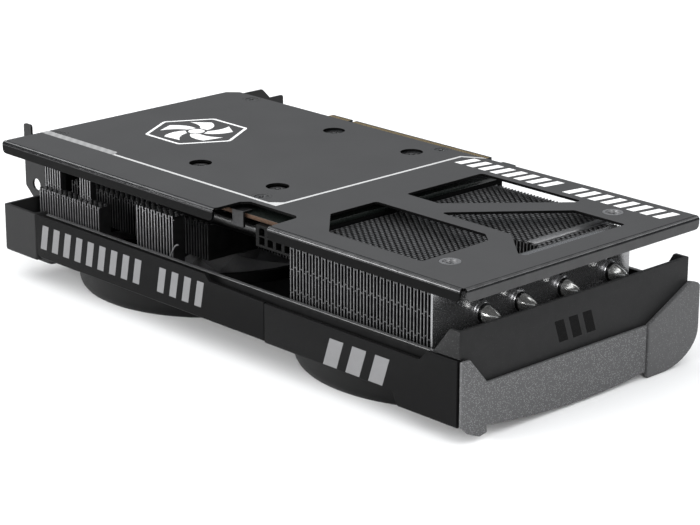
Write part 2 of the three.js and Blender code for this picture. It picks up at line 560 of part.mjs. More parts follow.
function tail() {
  const { wallX, wallTop, recess, ledge, nearStep, farStep, farY } = TAIL;
  // The wall stands behind the trim and turns round both corners.
  const face = plateAcross([[CREST_Y + 2.6, 14], [farY - 8, 14], [farY - 4, 18], [farY - 4, wallTop],
    [CREST_Y + 2.6, wallTop]], wallX, TAIL_X - 1.6);
  const returnNear = plateAlong([[wallX - 10, ledge], [wallX + 0.2, ledge], [wallX + 0.2, wallTop],
    [wallX - 3, wallTop]], CREST_Y + 0.6, CREST_Y + 2.1);
  const cornerPost = block(wallX, TAIL_X - 1.6, CREST_Y + 0.6, CREST_Y + 3, ledge, wallTop);
  const returnFar = plateAlong([[wallX - 10, WALL_TOP], [wallX + 0.2, WALL_TOP], [wallX + 0.2, wallTop],
    [wallX - 4, wallTop]], farY - 5.6, farY - 4);
  add('tail_wall', 'band', join([face, returnNear, cornerPost, returnFar]));

  // The trim's lower edge is bowed, deepest towards the middle.
  const steps = 16;
  const bowed = Array.from({ length: steps + 1 }, (_, i) => {
    const y = nearStep + ((farStep - nearStep) * i) / steps;
    return [y, 0.7 + 3.6 * ((y - 56) / 46) ** 2];
  });
  const trim = plateAcross([...bowed, [farStep, recess], [nearStep, recess], [1.8, ledge - 0.4],
    [CREST_Y + 0.3, ledge - 0.4], [CREST_Y + 0.3, 6.4], [1.5, 3.4], [6.5, 1.3], [nearStep, 1.9]],
    TAIL_X - 1.3, TAIL_X);
  // The slot-side piece's lower corner is a quarter of an ellipse.
  const [cornerY, cornerZ] = [farY - 93, 12];
  const cornerCurve = Array.from({ length: 11 }, (_, i) => {
    const turn = (Math.PI / 20) * i;
    return [93 + cornerY * Math.sin(turn), 0.1 + cornerZ * (1 - Math.cos(turn))];
  });
  const far = plateAcross([[farStep + GAP, 0.1], ...cornerCurve, [farY, 26.8], [110.6, 27.8],
    [107, ledge + 0.9], [farStep + GAP, recess]], TAIL_X - 1.3, TAIL_X + 0.7);
  add('tail_trim', 'trim', trim);
  add('tail_trim_slot_side', 'trim', far);
}

// ---------------------------------------------------------------- assembly

backplate();
backplateScrews();
board();
chips();
powerConnector();
bracket();
ports();
bracketScrews();
coldPlate();
heatPipes();
fins();
retentionScrews();
FANS.forEach(fan);
fanCables();
shroud();
FANS.forEach(fanRing);
sideBands();
tail();

card.position.set(-(FOOTPRINT.x[0] + FOOTPRINT.x[1]) / 2, -(FOOTPRINT.y[0] + FOOTPRINT.y[1]) / 2, 0);
const root = new THREE.Group();
root.add(card);

export default root;
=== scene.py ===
"""Looks of a two-fan graphics card that lies on its fans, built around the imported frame, in metres.

Places are measured from the backplate's bracket-and-crest corner, along the card (x), across it towards the
slot edge (y) and up from the surface it lies on (z), and come from the frame's own nodes wherever they can.
Named places without MM are in millimetres of that layout.
"""

import json
import math
import random
from contextlib import contextmanager

import bmesh
import bpy
from mathutils import Matrix, Vector


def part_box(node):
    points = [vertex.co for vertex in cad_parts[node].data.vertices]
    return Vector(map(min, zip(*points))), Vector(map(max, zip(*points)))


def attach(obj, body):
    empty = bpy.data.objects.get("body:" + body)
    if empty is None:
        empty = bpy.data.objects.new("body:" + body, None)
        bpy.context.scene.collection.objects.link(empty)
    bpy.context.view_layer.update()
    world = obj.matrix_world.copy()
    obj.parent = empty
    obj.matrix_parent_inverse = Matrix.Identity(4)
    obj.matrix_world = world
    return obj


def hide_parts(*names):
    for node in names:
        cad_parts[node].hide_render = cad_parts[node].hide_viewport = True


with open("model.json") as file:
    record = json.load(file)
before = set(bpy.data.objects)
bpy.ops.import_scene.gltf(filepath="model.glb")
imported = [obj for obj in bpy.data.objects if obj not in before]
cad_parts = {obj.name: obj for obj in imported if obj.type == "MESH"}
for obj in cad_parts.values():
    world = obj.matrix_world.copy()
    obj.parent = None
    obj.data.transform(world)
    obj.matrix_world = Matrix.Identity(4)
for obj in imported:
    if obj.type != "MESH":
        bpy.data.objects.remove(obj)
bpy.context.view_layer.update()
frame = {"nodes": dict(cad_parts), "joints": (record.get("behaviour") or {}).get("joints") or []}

MM = 0.001
X, Y, Z = 0, 1, 2
CARD = "card"
ENDS = ("bracket_end", "tail_end")
SEED = 11

scene = bpy.context.scene
sheet_low, sheet_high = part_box("backplate")


def at(x, y, z):
    """A point of the card's layout, in millimetres from the backplate's corner, as a point of the frame."""
    return Vector((sheet_low.x + x * MM, sheet_low.y + y * MM, z * MM))


def x_at(x):
    return at(x, 0, 0).x


def y_at(y):
    return at(0, y, 0).y


def z_at(z):
    return at(0, 0, z).z


# ------ camera, floor and light

CAMERA_PLACE = Vector((0.5965, -0.5652, 0.2826))
CAMERA_AZIMUTH = math.radians(46.50)      # from straight at the crest edge, round towards the tail
CAMERA_ELEVATION = math.radians(18.035)
CAMERA_ROLL = math.radians(0.087)
CAMERA_LENS = 124.04
CAMERA_SENSOR = 36
CAMERA_CLIP = (0.01, 50)

FLOOR_REACH = 12
FLOOR_COLOUR = (0.93, 0.93, 0.93, 1)
ROOM_COLOUR = (0.9, 0.95, 1.0, 1)
ROOM_STRENGTH = 0.30
LIGHT_TARGET = Vector((0, 0, 0.03))
# Each soft light's name, the direction it stands in, its distance, its width and height, and its power.
LIGHTS = (
    ("overhead", (0.05, 0.05, 1.0), 2.2, (5.0, 5.0), 92),
    ("low_crest_side", (-0.35, -0.90, 0.30), 1.4, (1.2, 0.4), 20),
    ("strip_slot_side", (0.45, 0.65, 0.50), 1.5, (1.6, 0.16), 4),
    ("strip_bracket_side", (-0.69, -0.30, 0.62), 1.5, (1.6, 0.16), 4),
    ("low_tail_side", (0.85, -0.42, 0.30), 1.1, (0.5, 0.3), 5),
)


def make_camera():
    data = bpy.data.cameras.new("camera")
    data.lens = CAMERA_LENS
    data.sensor_width = CAMERA_SENSOR
    data.clip_start, data.clip_end = CAMERA_CLIP
    camera = bpy.data.objects.new("camera", data)
    scene.collection.objects.link(camera)
    back = Vector((math.sin(CAMERA_AZIMUTH) * math.cos(CAMERA_ELEVATION),
                   -math.cos(CAMERA_AZIMUTH) * math.cos(CAMERA_ELEVATION), math.sin(CAMERA_ELEVATION)))
    turn = back.to_track_quat("Z", "Y").to_matrix() @ Matrix.Rotation(CAMERA_ROLL, 3, "Z")
    camera.matrix_world = Matrix.Translation(CAMERA_PLACE) @ turn.to_4x4()
    scene.camera = camera


def area_light(name, direction, distance, size, power):
    """A rectangular soft light that looks at the card from a direction."""
    data = bpy.data.lights.new(name, "AREA")
    data.shape = "RECTANGLE"
    data.size, data.size_y = size
    data.energy = power
    light = bpy.data.objects.new(name, data)
    scene.collection.objects.link(light)
    away = Vector(direction).normalized()
    light.location = LIGHT_TARGET + away * distance
    light.rotation_euler = away.to_track_quat("Z", "Y").to_euler()
    light.visible_camera = False


def make_floor():
    side = FLOOR_REACH
    corners = [(-side, -side, 0), (side, -side, 0), (side, side, 0), (-side, side, 0)]
    floor = bpy.data.objects.new("floor", mesh_of(corners, [(0, 1, 2, 3)]))
    scene.collection.objects.link(floor)
    pale = bpy.data.materials.new("floor_pale")
    pale.use_nodes = True
    shader = pale.node_tree.nodes["Principled BSDF"]
    shader.inputs["Base Color"].default_value = FLOOR_COLOUR
    shader.inputs["Roughness"].default_value = 0.9
    shader.inputs["Specular IOR Level"].default_value = 0.1
    floor.data.materials.append(pale)


def make_lights():
    """An even, dim room and the soft lights."""
    world = bpy.data.worlds.new("studio")
    world.use_nodes = True
    room = world.node_tree.nodes["Background"]
    room.inputs["Color"].default_value = ROOM_COLOUR
    room.inputs["Strength"].default_value = ROOM_STRENGTH
    scene.world = world
    for light in LIGHTS:
        area_light(*light)
    scene.view_settings.view_transform = "Standard"


# ------ materials

BRUSHED = 0.02                            # a brushed grain's scale along its scratches
ROUGH_SWING = 0.08                        # how far the fine grain moves the roughness, up or down
HATCH_COLOUR = (0.34, 0.34, 0.34)


def node(tree, kind, **values):
    """A shader node. Each value goes to the socket of that name, or else to the setting."""
    made = tree.nodes.new(kind)
    for key, value in values.items():
        if key in made.inputs:
            made.inputs[key].default_value = value
        else:
            setattr(made, key, value)
    return made


def noise(tree, place, scale, detail, roughness):
    made = node(tree, "ShaderNodeTexNoise", Scale=scale, Detail=detail, Roughness=roughness)
    tree.links.new(place, made.inputs["Vector"])
    return made.outputs["Fac"]


def ranged(tree, source, low, high, source_low=0.3, source_high=0.7):
    """A value moved from one range to another."""
    made = node(tree, "ShaderNodeMapRange")
    made.inputs["From Min"].default_value, made.inputs["From Max"].default_value = source_low, source_high
    made.inputs["To Min"].default_value, made.inputs["To Max"].default_value = low, high
    tree.links.new(source, made.inputs["Value"])
    return made.outputs["Result"]


def overlaid(tree, colour, above, factor):
    """A colour with a constant one laid over it by a factor."""
    made = node(tree, "ShaderNodeMix", data_type="RGBA")
    made.inputs["B"].default_value = (*above, 1)
    tree.links.new(factor, made.inputs["Factor"])
    tree.links.new(colour, made.inputs["A"])
    return made.outputs["Result"]


def specks(tree, place, share, cells):
    """1 at the middle of a share of a random pattern's cells, falling to 0 round it."""
    dots = node(tree, "ShaderNodeTexVoronoi", Scale=cells, Randomness=1.0)
    tree.links.new(place, dots.inputs["Vector"])
    pick = node(tree, "ShaderNodeSeparateColor")
    tree.links.new(dots.outputs["Color"], pick.inputs["Color"])
    chosen = node(tree, "ShaderNodeMath", operation="GREATER_THAN")
    chosen.inputs[1].default_value = 1 - share
    tree.links.new(pick.outputs["Red"], chosen.inputs[0])
    mask = node(tree, "ShaderNodeMath", operation="MULTIPLY")
    tree.links.new(chosen.outputs["Value"], mask.inputs[0])
    tree.links.new(ranged(tree, dots.outputs["Distance"], 0, 1, 0.5, 0.2), mask.inputs[1])
    return mask.outputs["Value"]


def finish(name, tint, rough, metal=0.0, mottle=0.12, mottle_scale=260, grain=0.35, grain_scale=2600,
           depth=0.02, specular=0.5, fleck=None, brushed=None, hatch=None):
    """A surface with slow changes of tone and roughness and a fine grain.

    fleck is (colour, share, cells per metre) for bright specks, brushed is an axis for long fine scratches,
    and hatch is the scale of a wave pattern of slanted lines.
    """
    made = bpy.data.materials.new(name)
    made.use_nodes = True
    tree = made.node_tree
    link = tree.links.new
    shader = tree.nodes["Principled BSDF"]
    shader.inputs["Metallic"].default_value = metal
    shader.inputs["Specular IOR Level"].default_value = specular
    place = node(tree, "ShaderNodeTexCoord").outputs["Object"]

    shade = node(tree, "ShaderNodeVectorMath", operation="SCALE")
    shade.inputs[0].default_value = tint
    slow = noise(tree, place, mottle_scale, 4.0, 0.6)
    link(ranged(tree, slow, 1 - mottle, 1 + mottle), shade.inputs["Scale"])
    colour = shade.outputs["Vector"]
    if hatch:
        lines = node(tree, "ShaderNodeTexWave", Scale=hatch, Distortion=0.0, bands_direction="DIAGONAL")
        link(place, lines.inputs["Vector"])
        colour = overlaid(tree, colour, HATCH_COLOUR, lines.outputs["Fac"])
    if fleck:
        fleck_colour, share, cells = fleck
        colour = overlaid(tree, colour, fleck_colour, specks(tree, place, share, cells))
    link(colour, shader.inputs["Base Color"])

    if brushed is not None:
        squeeze = node(tree, "ShaderNodeMapping")
        squeeze.inputs["Scale"].default_value = [BRUSHED if axis == brushed else 1.0 for axis in (X, Y, Z)]
        link(place, squeeze.inputs["Vector"])
        place = squeeze.outputs["Vector"]
    fine = noise(tree, place, grain_scale, 3.0, 0.55)
    dull = ranged(tree, fine, max(0.02, rough - ROUGH_SWING), min(1.0, rough + ROUGH_SWING))
    link(dull, shader.inputs["Roughness"])
    bump = node(tree, "ShaderNodeBump", Strength=grain, Distance=depth * MM)
    link(fine, bump.inputs["Height"])
    link(bump.outputs["Normal"], shader.inputs["Normal"])
    return made


def grey(level):
    return (level, level, level * 1.02)


PAINT = {
    "sheet": finish("sheet_satin_black", grey(0.052), 0.55, specular=0.18, mottle=0.05, mottle_scale=40,
                    grain=0.25, grain_scale=5200, depth=0.012),
    # The crest flanges, the cut edges and the underside: the top's paint set near black and barely
    # reflecting, painted shade.
    "sheet_flange": finish("sheet_flange_painted_shade", grey(0.002), 0.40, specular=0.05, mottle=0.2, grain=0.2,
                           grain_scale=3000, depth=0.01),
    # The bends: the same paint made a smooth metal so that a bright line runs along them, a painted
    # highlight.
    "sheet_bend": finish("sheet_bend_painted_sheen", grey(0.055), 0.20, metal=1.0, mottle=0.2, grain=0.1,
                         grain_scale=3000, depth=0.006),
    # The tail flange: the same paint set darker than the top and lighter than the crest flange, painted shade
    # for how the light falls on each side.
    "sheet_tail": finish("sheet_tail_painted_shade", grey(0.030), 0.38, specular=0.35, mottle=0.15, grain=0.6,
                         grain_scale=2400, depth=0.03),
    "print": finish("print_silver", (0.56, 0.56, 0.56), 0.5, mottle=0.04, grain=0.1),
    "print_band": finish("print_silver_hatched", (0.28, 0.28, 0.28), 0.5, mottle=0.05, grain=0.1, hatch=150),
    "print_white": finish("print_white", (0.90, 0.90, 0.90), 0.55, mottle=0.03, grain=0.1),
    "print_grey": finish("print_grey", (0.14, 0.14, 0.143), 0.5, mottle=0.04, grain=0.1),
    "shroud": finish("shroud_black_plastic", grey(0.008), 0.45, specular=0.2, mottle=0.15, grain=0.3,
                     grain_scale=3800),
    # The tops of the shroud walls: the black plastic made lighter, a painted highlight along the lit rim.
    "shroud_rim": finish("shroud_rim_painted_highlight", grey(0.07), 0.35, specular=0.4, mottle=0.3, mottle_scale=500,
                         grain=0.2),
    "ring": finish("ring_satin_plastic", grey(0.005), 0.42, specular=0.14, mottle=0.10, grain=0.2,
                   grain_scale=3600),
    "corner": finish("corner_grey_plastic", grey(0.016), 0.55, specular=0.15, mottle=0.06, grain=0.3,
                     grain_scale=4200),
    "band": finish("band_charcoal_plastic", grey(0.005), 0.50, specular=0.05, mottle=0.06, grain=0.35,
                   grain_scale=4200),
    "wall": finish("wall_charcoal_speckle", grey(0.016), 0.50, specular=0.10, mottle=0.08, grain=0.4,
                   grain_scale=3600, fleck=(grey(0.055), 0.25, 2600)),
    "gloss": finish("gloss_black_inlay", grey(0.001), 0.25, specular=0.05, mottle=0.1, grain=0.05),
    "trim": finish("trim_grey_speckle", grey(0.080), 0.60, specular=0.2, mottle=0.08, mottle_scale=900,
                   grain=0.6, grain_scale=3000, depth=0.03, fleck=(grey(0.19), 0.30, 2400)),
    "blade": finish("blade_satin_plastic", grey(0.15), 0.32, specular=0.4, mottle=0.06, grain=0.15,
                    grain_scale=3000),
    "motor": finish("motor_black_plastic", grey(0.018), 0.55, specular=0.3, mottle=0.1),
    "bracket": finish("bracket_black_steel", grey(0.012), 0.38, specular=0.25, metal=0.2, mottle=0.1,
                      grain=0.2, depth=0.006),
    "shell": finish("socket_nickel", (0.55, 0.55, 0.54), 0.28, metal=1.0, mottle=0.08, brushed=X, grain=0.1),
    "board": finish("board_black_mask", (0.007, 0.009, 0.008), 0.32, specular=0.3, mottle=0.2,
                    mottle_scale=500, grain=0.2, grain_scale=1500),
    "laminate": finish("board_laminate_edge", (0.065, 0.038, 0.024), 0.75, specular=0.2, mottle=0.25,
                       mottle_scale=1800),
    "gold": finish("contact_gold", (0.78, 0.55, 0.24), 0.25, metal=1.0, mottle=0.06, grain=0.1),
    "chip": finish("chip_moulding", grey(0.02), 0.45, specular=0.3, mottle=0.1, grain=0.3, grain_scale=5000),
    "substrate": finish("package_substrate", (0.02, 0.045, 0.03), 0.4, mottle=0.15),
    "silicon": finish("die_silicon", (0.20, 0.23, 0.28), 0.08, metal=0.7, mottle=0.08, grain=0.02),
    "choke": finish("choke_powder", grey(0.07), 0.65, specular=0.3, mottle=0.2, mottle_scale=900, grain=0.6),
    "nylon": finish("connector_nylon", grey(0.004), 0.42, specular=0.08, mottle=0.1, grain=0.2),
    # A black fill for a gap where only shade shows: painted shade.
    "foam": finish("painted_shade_strip", grey(0.003), 0.9, specular=0.05, mottle=0.2, grain=0.6),
    "nickel": finish("nickel_plate", (0.66, 0.66, 0.65), 0.16, metal=1.0, mottle=0.06, grain=0.2, brushed=X,
                     depth=0.01),
    # The pipes: nickel set near black, painted shade for the dark surroundings they reflect; their crimped
    # tips keep bright nickel.
    "pipe": finish("pipe_nickel_painted_shade", (0.06, 0.06, 0.06), 0.30, metal=1.0, mottle=0.06, grain=0.2, brushed=X,
                   depth=0.01),
    "crimp": finish("nickel_crimp", (0.80, 0.80, 0.78), 0.20, metal=0.85, mottle=0.10, mottle_scale=900,
                    grain=0.15, grain_scale=1400, depth=0.02),
    "fin": finish("fin_face", grey(0.09), 0.40, metal=1.0, mottle=0.15, grain=0.15, brushed=Y),
    # The fins' cut edges, lighter than the fin faces: a painted highlight where the edges catch the light.
    "fin_edge": finish("fin_edge_painted_highlight", grey(0.12), 0.38, metal=0.6, mottle=0.30, mottle_scale=600),
    # The crest blocks' fin edges, lighter again: a painted highlight that makes up for the light these blocks
    # don't get.
    "fin_lip": finish("fin_block_edge_painted_highlight", grey(0.26), 0.38, metal=0.6, mottle=0.20, mottle_scale=600),
    "fin_tab": finish("fin_folded_tab", grey(0.20), 0.40, metal=0.8, mottle=0.30, mottle_scale=900),
    "end_plate": finish("end_plate_bright", grey(0.30), 0.26, metal=0.85, mottle=0.03, grain=0.03,
                        depth=0.004),
    "screw": finish("screw_dark_plate", grey(0.10), 0.35, metal=0.8, mottle=0.1, grain=0.2),
    "ring_bright": finish("countersink_bright", grey(0.30), 0.35, metal=0.8, mottle=0.1),
    "steel": finish("bright_steel", (0.62, 0.62, 0.61), 0.22, metal=1.0, mottle=0.08, brushed=Z),
    "clip": finish("clip_dull_steel", grey(0.05), 0.35, metal=1.0, mottle=0.2, mottle_scale=700),
    "cable": finish("cable_sleeve", grey(0.012), 0.5, mottle=0.2, mottle_scale=1200, grain=0.4),
}


# ------ mesh helpers

WELD = 2e-6                               # points closer than this are one point
LATHE_WELD = 1e-7
LEVEL_SLACK = 2e-5                        # how far a flat face's corners may lie from its level
SPOTS = 1e5                               # steps in a metre by which outline points are told apart
ROUND_SIDES = 8                           # a loop with this many corners or more, all about as far from its
ROUND_SLACK = 0.03                        # middle (to this share), is a circle
BIG_CIRCLE = 20 * MM                      # a circle with a larger radius gets more sides
CIRCLE_SIDES = (40, 96)


def mesh_of(verts, faces):
    mesh = bpy.data.meshes.new("mesh")
    mesh.from_pydata([tuple(v) for v in verts], [], faces)
    return mesh


@contextmanager
def edited(mesh):
    """The mesh as a bmesh, written back at the end."""
    bm = bmesh.new()
    bm.from_mesh(mesh)
    yield bm
    bm.to_mesh(mesh)
    bm.free()


def as_piece(name, mesh, paint, body=CARD, replaces=(), smooth=None):
    """A mesh that rides on a body. smooth is the angle in degrees under which edges are shaded round."""
    with edited(mesh) as bm:
        bmesh.ops.remove_doubles(bm, verts=bm.verts, dist=WELD)
        bmesh.ops.recalc_face_normals(bm, faces=bm.faces)
    if mesh.materials:                    # clearing also sets every face's material number to 0
        mesh.materials.clear()
    for key in ([paint] if isinstance(paint, str) else paint):
        mesh.materials.append(PAINT[key])
    if smooth is not None:
        mesh.shade_smooth()
        mesh.set_sharp_from_angle(angle=math.radians(smooth))
    made = bpy.data.objects.new(name, mesh)
    scene.collection.objects.link(made)
    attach(made, body)
    if replaces:
        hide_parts(*([replaces] if isinstance(replaces, str) else replaces))
    return made


def outlines(name, axis, level):
    """The closed outlines of a CAD node's flat faces at one level of an axis, in 2-D, largest first."""
    mesh = frame["nodes"][name].data
    flat = [i for i in (X, Y, Z) if i != axis]
    spots, edges = {}, set()
    for face in mesh.polygons:
        corners = [mesh.vertices[i].co for i in face.vertices]
        if any(abs(c[axis] - level) > LEVEL_SLACK for c in corners):
            continue
        keys = []
        for c in corners:
            key = tuple(round(c[i] * SPOTS) for i in flat)
            spots[key] = Vector((c[flat[0]], c[flat[1]]))
            keys.append(key)
        for edge in zip(keys, keys[1:] + keys[:1]):
            if edge[::-1] in edges:
                edges.remove(edge[::-1])
            elif edge[0] != edge[1]:
                edges.add(edge)
    after = dict(edges)
    loops = []
    while after:
        start, here = after.popitem()
        loop = [spots[start]]
        while here != start and here in after:
            loop.append(spots[here])
            here = after.pop(here)
        loops.append(straightened(loop))
    return sorted(loops, key=lambda loop: -abs(area(loop)))


def area(loop):
    return 0.5 * sum(a.x * b.y - b.x * a.y for a, b in zip(loop, loop[1:] + loop[:1]))


def corners_of(loop):
    """Each point of a loop with the one before it and the one after it."""
    return zip(loop[-1:] + loop[:-1], loop, loop[1:] + loop[:1])


def straightened(loop):
    """The loop without points that lie on a straight stretch."""
    kept = []
    for before, here, after in corners_of(loop):
        one, two = (here - before), (after - here)
        if one.length > 1e-6 and two.length > 1e-6 and abs(one.normalized().cross(two.normalized())) > 0.01:
            kept.append(here)
    return kept


def loop_of(*points):
    return [Vector(p) for p in points]


def rectangle(x0, y0, x1, y1):
    return loop_of((x0, y0), (x1, y0), (x1, y1), (x0, y1))


def circle(centre, radius, count=64):
    turns = [2 * math.pi * i / count for i in range(count)]
    return [Vector((centre[0] + radius * math.cos(t), centre[1] + radius * math.sin(t))) for t in turns]


def softened(loop, radius, steps=4):
    """A many-sided round loop as a smooth circle; any other loop with its corners rounded."""
    centre = sum(loop, Vector((0, 0))) / len(loop)
    reach = [(p - centre).length for p in loop]
    if len(loop) >= ROUND_SIDES and max(reach) - min(reach) < ROUND_SLACK * max(reach):
        return circle(centre, max(reach), CIRCLE_SIDES[max(reach) > BIG_CIRCLE])
    made = []
    for before, here, after in corners_of(loop):
        back, ahead = before - here, after - here
        turn = math.pi - back.angle(ahead)
        run = min(radius * math.tan(turn / 2), 0.45 * back.length, 0.45 * ahead.length)
        start, end = here + back.normalized() * run, here + ahead.normalized() * run
        for i in range(steps + 1):
            t = i / steps
            made.append(start * (1 - t) ** 2 + here * 2 * t * (1 - t) + end * t ** 2)
    return made


def slab_mesh(loops, axis, low, high, edge=0.15 * MM, steps=2):
    """A flat plate with holes, its rims rounded, from 2-D loops across an axis, between two levels of it."""
    curve = bpy.data.curves.new("slab", "CURVE")
    curve.dimensions = "2D"
    curve.fill_mode = "BOTH"
    for loop in loops:
        spline = curve.splines.new("POLY")
        spline.points.add(len(loop) - 1)
        for point, spot in zip(spline.points, loop):
            point.co = (spot[0], spot[1], 0, 1)
        spline.use_cyclic_u = True
    curve.extrude = (high - low) / 2 - edge
    curve.bevel_depth = edge
    curve.bevel_resolution = steps - 1
    curve.offset = -edge
    holder = bpy.data.objects.new("slab", curve)
    scene.collection.objects.link(holder)
    bpy.context.view_layer.update()
    evaluated = holder.evaluated_get(bpy.context.evaluated_depsgraph_get())
    mesh = bpy.data.meshes.new_from_object(evaluated)
    bpy.data.objects.remove(holder)
    bpy.data.curves.remove(curve)
    # The curve's x and y become the two other axes, and its z the slab's own axis.
    flat = [i for i in (X, Y, Z) if i != axis]
    turn = Matrix.Diagonal((0, 0, 0, 1))
    for column, row in enumerate((*flat, axis)):
        turn[row][column] = 1
    turn[axis][3] = (low + high) / 2
    mesh.transform(turn)
    return mesh


def joined(meshes, numbered=True):
    """One mesh from several. If numbered, the faces of each have a material number of their own."""
    verts, faces, numbers = [], [], []
    for number, mesh in enumerate(meshes):
        first = len(verts)
        verts += [vertex.co[:] for vertex in mesh.vertices]
        faces += [[first + i for i in face.vertices] for face in mesh.polygons]
        numbers += [number if numbered else 0] * len(mesh.polygons)
    made = mesh_of(verts, faces)
    made.polygons.foreach_set("material_index", numbers)
    return made


def merged(meshes):
    """One mesh from several, all of one material."""
    return joined(meshes, numbered=False)


def box_mesh(low, high):
    verts = [(x, y, z) for z in (low[Z], high[Z]) for y in (low[Y], high[Y]) for x in (low[X], high[X])]
    faces = [(0, 2, 3, 1), (4, 5, 7, 6), (0, 1, 5, 4), (2, 6, 7, 3), (0, 4, 6, 2), (1, 3, 7, 5)]
    return mesh_of(verts, faces)


def ring_faces(rings, count, closed=False):
    """Faces between neighbouring rings of count points. closed joins the last ring to the first."""
    faces = []
    for i in range(rings if closed else rings - 1):
        step = ((i + 1) % rings - i) * count
        for k in range(count):
            a, b = i * count + k, i * count + (k + 1) % count
            faces.append((a, b, b + step, a + step))
    return faces


def bar_faces(rings, count):
    """The faces of a bar made of rings, with its two ends closed."""
    last = (rings - 1) * count
    return ring_faces(rings, count) + [tuple(range(count))[::-1], tuple(last + k for k in range(count))]


def lathe_mesh(centre, profile, count=48, axis=Z):
    """A turned shape from a closed profile of (radius, level) points."""
    verts = []
    for i in range(count):
        t = 2 * math.pi * i / count
        for r, level in profile:
            spot = [0, 0, 0]
            spot[axis] = level
            spot[(axis + 1) % 3], spot[(axis + 2) % 3] = r * math.cos(t), r * math.sin(t)
            verts.append(Vector(centre) + Vector(spot))
    mesh = mesh_of(verts, ring_faces(count, len(profile), closed=True))
    with edited(mesh) as bm:
        bmesh.ops.remove_doubles(bm, verts=bm.verts, dist=LATHE_WELD)
        bmesh.ops.dissolve_degenerate(bm, edges=bm.edges, dist=LATHE_WELD)
    return mesh


def rod_mesh(centre, radius, low, high, count=24):
    """A plain upright rod, as a shank under a screw's head."""
    return lathe_mesh((centre.x, centre.y, 0), [(0, low), (radius, low), (radius, high), (0, high)], count)


def cleaned(bm):
    """Welds a CAD mesh's points and joins the triangles of its flat faces."""
    bmesh.ops.remove_doubles(bm, verts=bm.verts, dist=WELD)
    bmesh.ops.dissolve_limit(bm, angle_limit=math.radians(1), verts=bm.verts, edges=bm.edges)


def bevel(bm, edges, width, steps, profile=0.5):
    bmesh.ops.bevel(bm, geom=edges, offset=width, segments=steps, profile=profile, affect="EDGES",
                    clamp_overlap=True)


def sharp_edges(bm, degrees):
    return [e for e in bm.edges if len(e.link_faces) == 2 and e.calc_face_angle(0) > math.radians(degrees)]


def bevelled(name, paint, width, steps=2, body=CARD, smooth=None):
    """A CAD node's own shape with its sharp edges rounded by a width in millimetres. It replaces the node."""
    mesh = frame["nodes"][name].data.copy()
    with edited(mesh) as bm:
        cleaned(bm)
        bevel(bm, sharp_edges(bm, 28), width * MM, steps)
    return as_piece(name + "_shaped", mesh, paint, body, name, smooth)


# ------ backplate

BEND = 1.4 * MM
SHEET = 1.0 * MM
RIM = 0.12 * MM                           # rounding of the sheet's cut edges
SHEET_CORNER = 1.5 * MM
FLANGE_CORNER = 2.2 * MM


def flange_wall(along, start, end, face):
    """The flat of a flange. along is the axis it runs on; face is its outer level on the other."""
    outward = -1 if along == X else 1
    top = sheet_high.z
    run = softened(rectangle(start, sheet_low.z, end, top + FLANGE_CORNER), FLANGE_CORNER)
    run = [Vector((p.x, min(p.y, top - BEND + RIM))) for p in run]
    levels = sorted((face, face - outward * SHEET))
    return slab_mesh([run], Y if along == X else X, *levels, edge=RIM)


def flange_bend(along, start, end, face):
    """The quarter-round bend between a flange and the sheet."""
    outward = -1 if along == X else 1
    steps = 6
    verts, faces = [], []
    for place in (start, end):
        for radius in (BEND, BEND - SHEET):
            for i in range(steps + 1):
                t = math.pi / 2 * i / steps
                off = face - outward * (BEND - radius * math.cos(t))
                level = sheet_high.z - BEND + radius * math.sin(t)
                verts.append((place, off, level) if along == X else (off, place, level))
    n = steps + 1
    for i in range(steps):
        faces.append((i, i + 1, 2 * n + i + 1, 2 * n + i))
        faces.append((n + i, 3 * n + i, 3 * n + i + 1, n + i + 1))
        faces.append((i, n + i, n + i + 1, i + 1))
        faces.append((2 * n + i, 2 * n + i + 1, 3 * n + i + 1, 3 * n + i))
    faces.append((0, 2 * n, 3 * n, n))
    faces.append((n - 1, 2 * n - 1, 4 * n - 1, 3 * n - 1))
    return mesh_of(verts, faces)


def make_backplate():
    top = sheet_high.z
    # The flat part ends where the bends begin, its rim tucked inside them.
    crest_edge, tail_edge = sheet_low.y + BEND - RIM, sheet_high.x - BEND + RIM
    loops = [[Vector((min(p.x, tail_edge), max(p.y, crest_edge))) for p in softened(loop, SHEET_CORNER)]
             for loop in outlines("backplate", Z, top)]
    sheet = slab_mesh(loops, Z, top - SHEET, top, edge=RIM)
    walls, bends = {X: [], Y: []}, {X: [], Y: []}
    for loop in outlines("backplate", Z, sheet_low.z):
        xs, ys = [p.x for p in loop], [p.y for p in loop]
        if max(xs) - min(xs) > max(ys) - min(ys):
            along, *run = X, min(xs), max(xs), min(ys)
        else:
            along, *run = Y, min(ys), max(ys), max(xs)
        walls[along].append(flange_wall(along, *run))
        bends[along].append(flange_bend(along, *run))
    # The top keeps the paint; the crest flanges, the bends and the tail flange each take a copy of it tuned
    # to their light, painted shade and a painted highlight.
    mesh = joined([sheet, merged(walls[X]), merged(bends[X] + bends[Y]), merged(walls[Y])])
    made = as_piece("backplate_sheet", mesh, ["sheet", "sheet_flange", "sheet_bend", "sheet_tail"],
                    replaces="backplate", smooth=20)
    # The cut edges and the underside take the flange's near-black copy of the paint: painted shade.
    for face in made.data.polygons:
        if face.material_index == 0 and face.normal.z < 0.5:
            face.material_index = 1


PRINT = 0.03 * MM
WIDE_LINE = ((0, 17.7), (43.5, 17.7), (41.5, 21.2), (0, 21.2))
THIN_LINE = ((43, 17.7), (131.4, 17.7), (131.4, 107.4), (139, 112.3), (137.2, 112.3), (130.2, 108),
             (130.2, 22.5), (126.5, 18.9), (42.3, 18.9))
MARK = (38.5, 61)
MARK_REACH = 19.5 * MM
MARK_LINE = 1.3 * MM
WHEEL_BLADES = 5
WHEEL_HUB = 3.1 * MM
BARS = (134.5, 100.5)


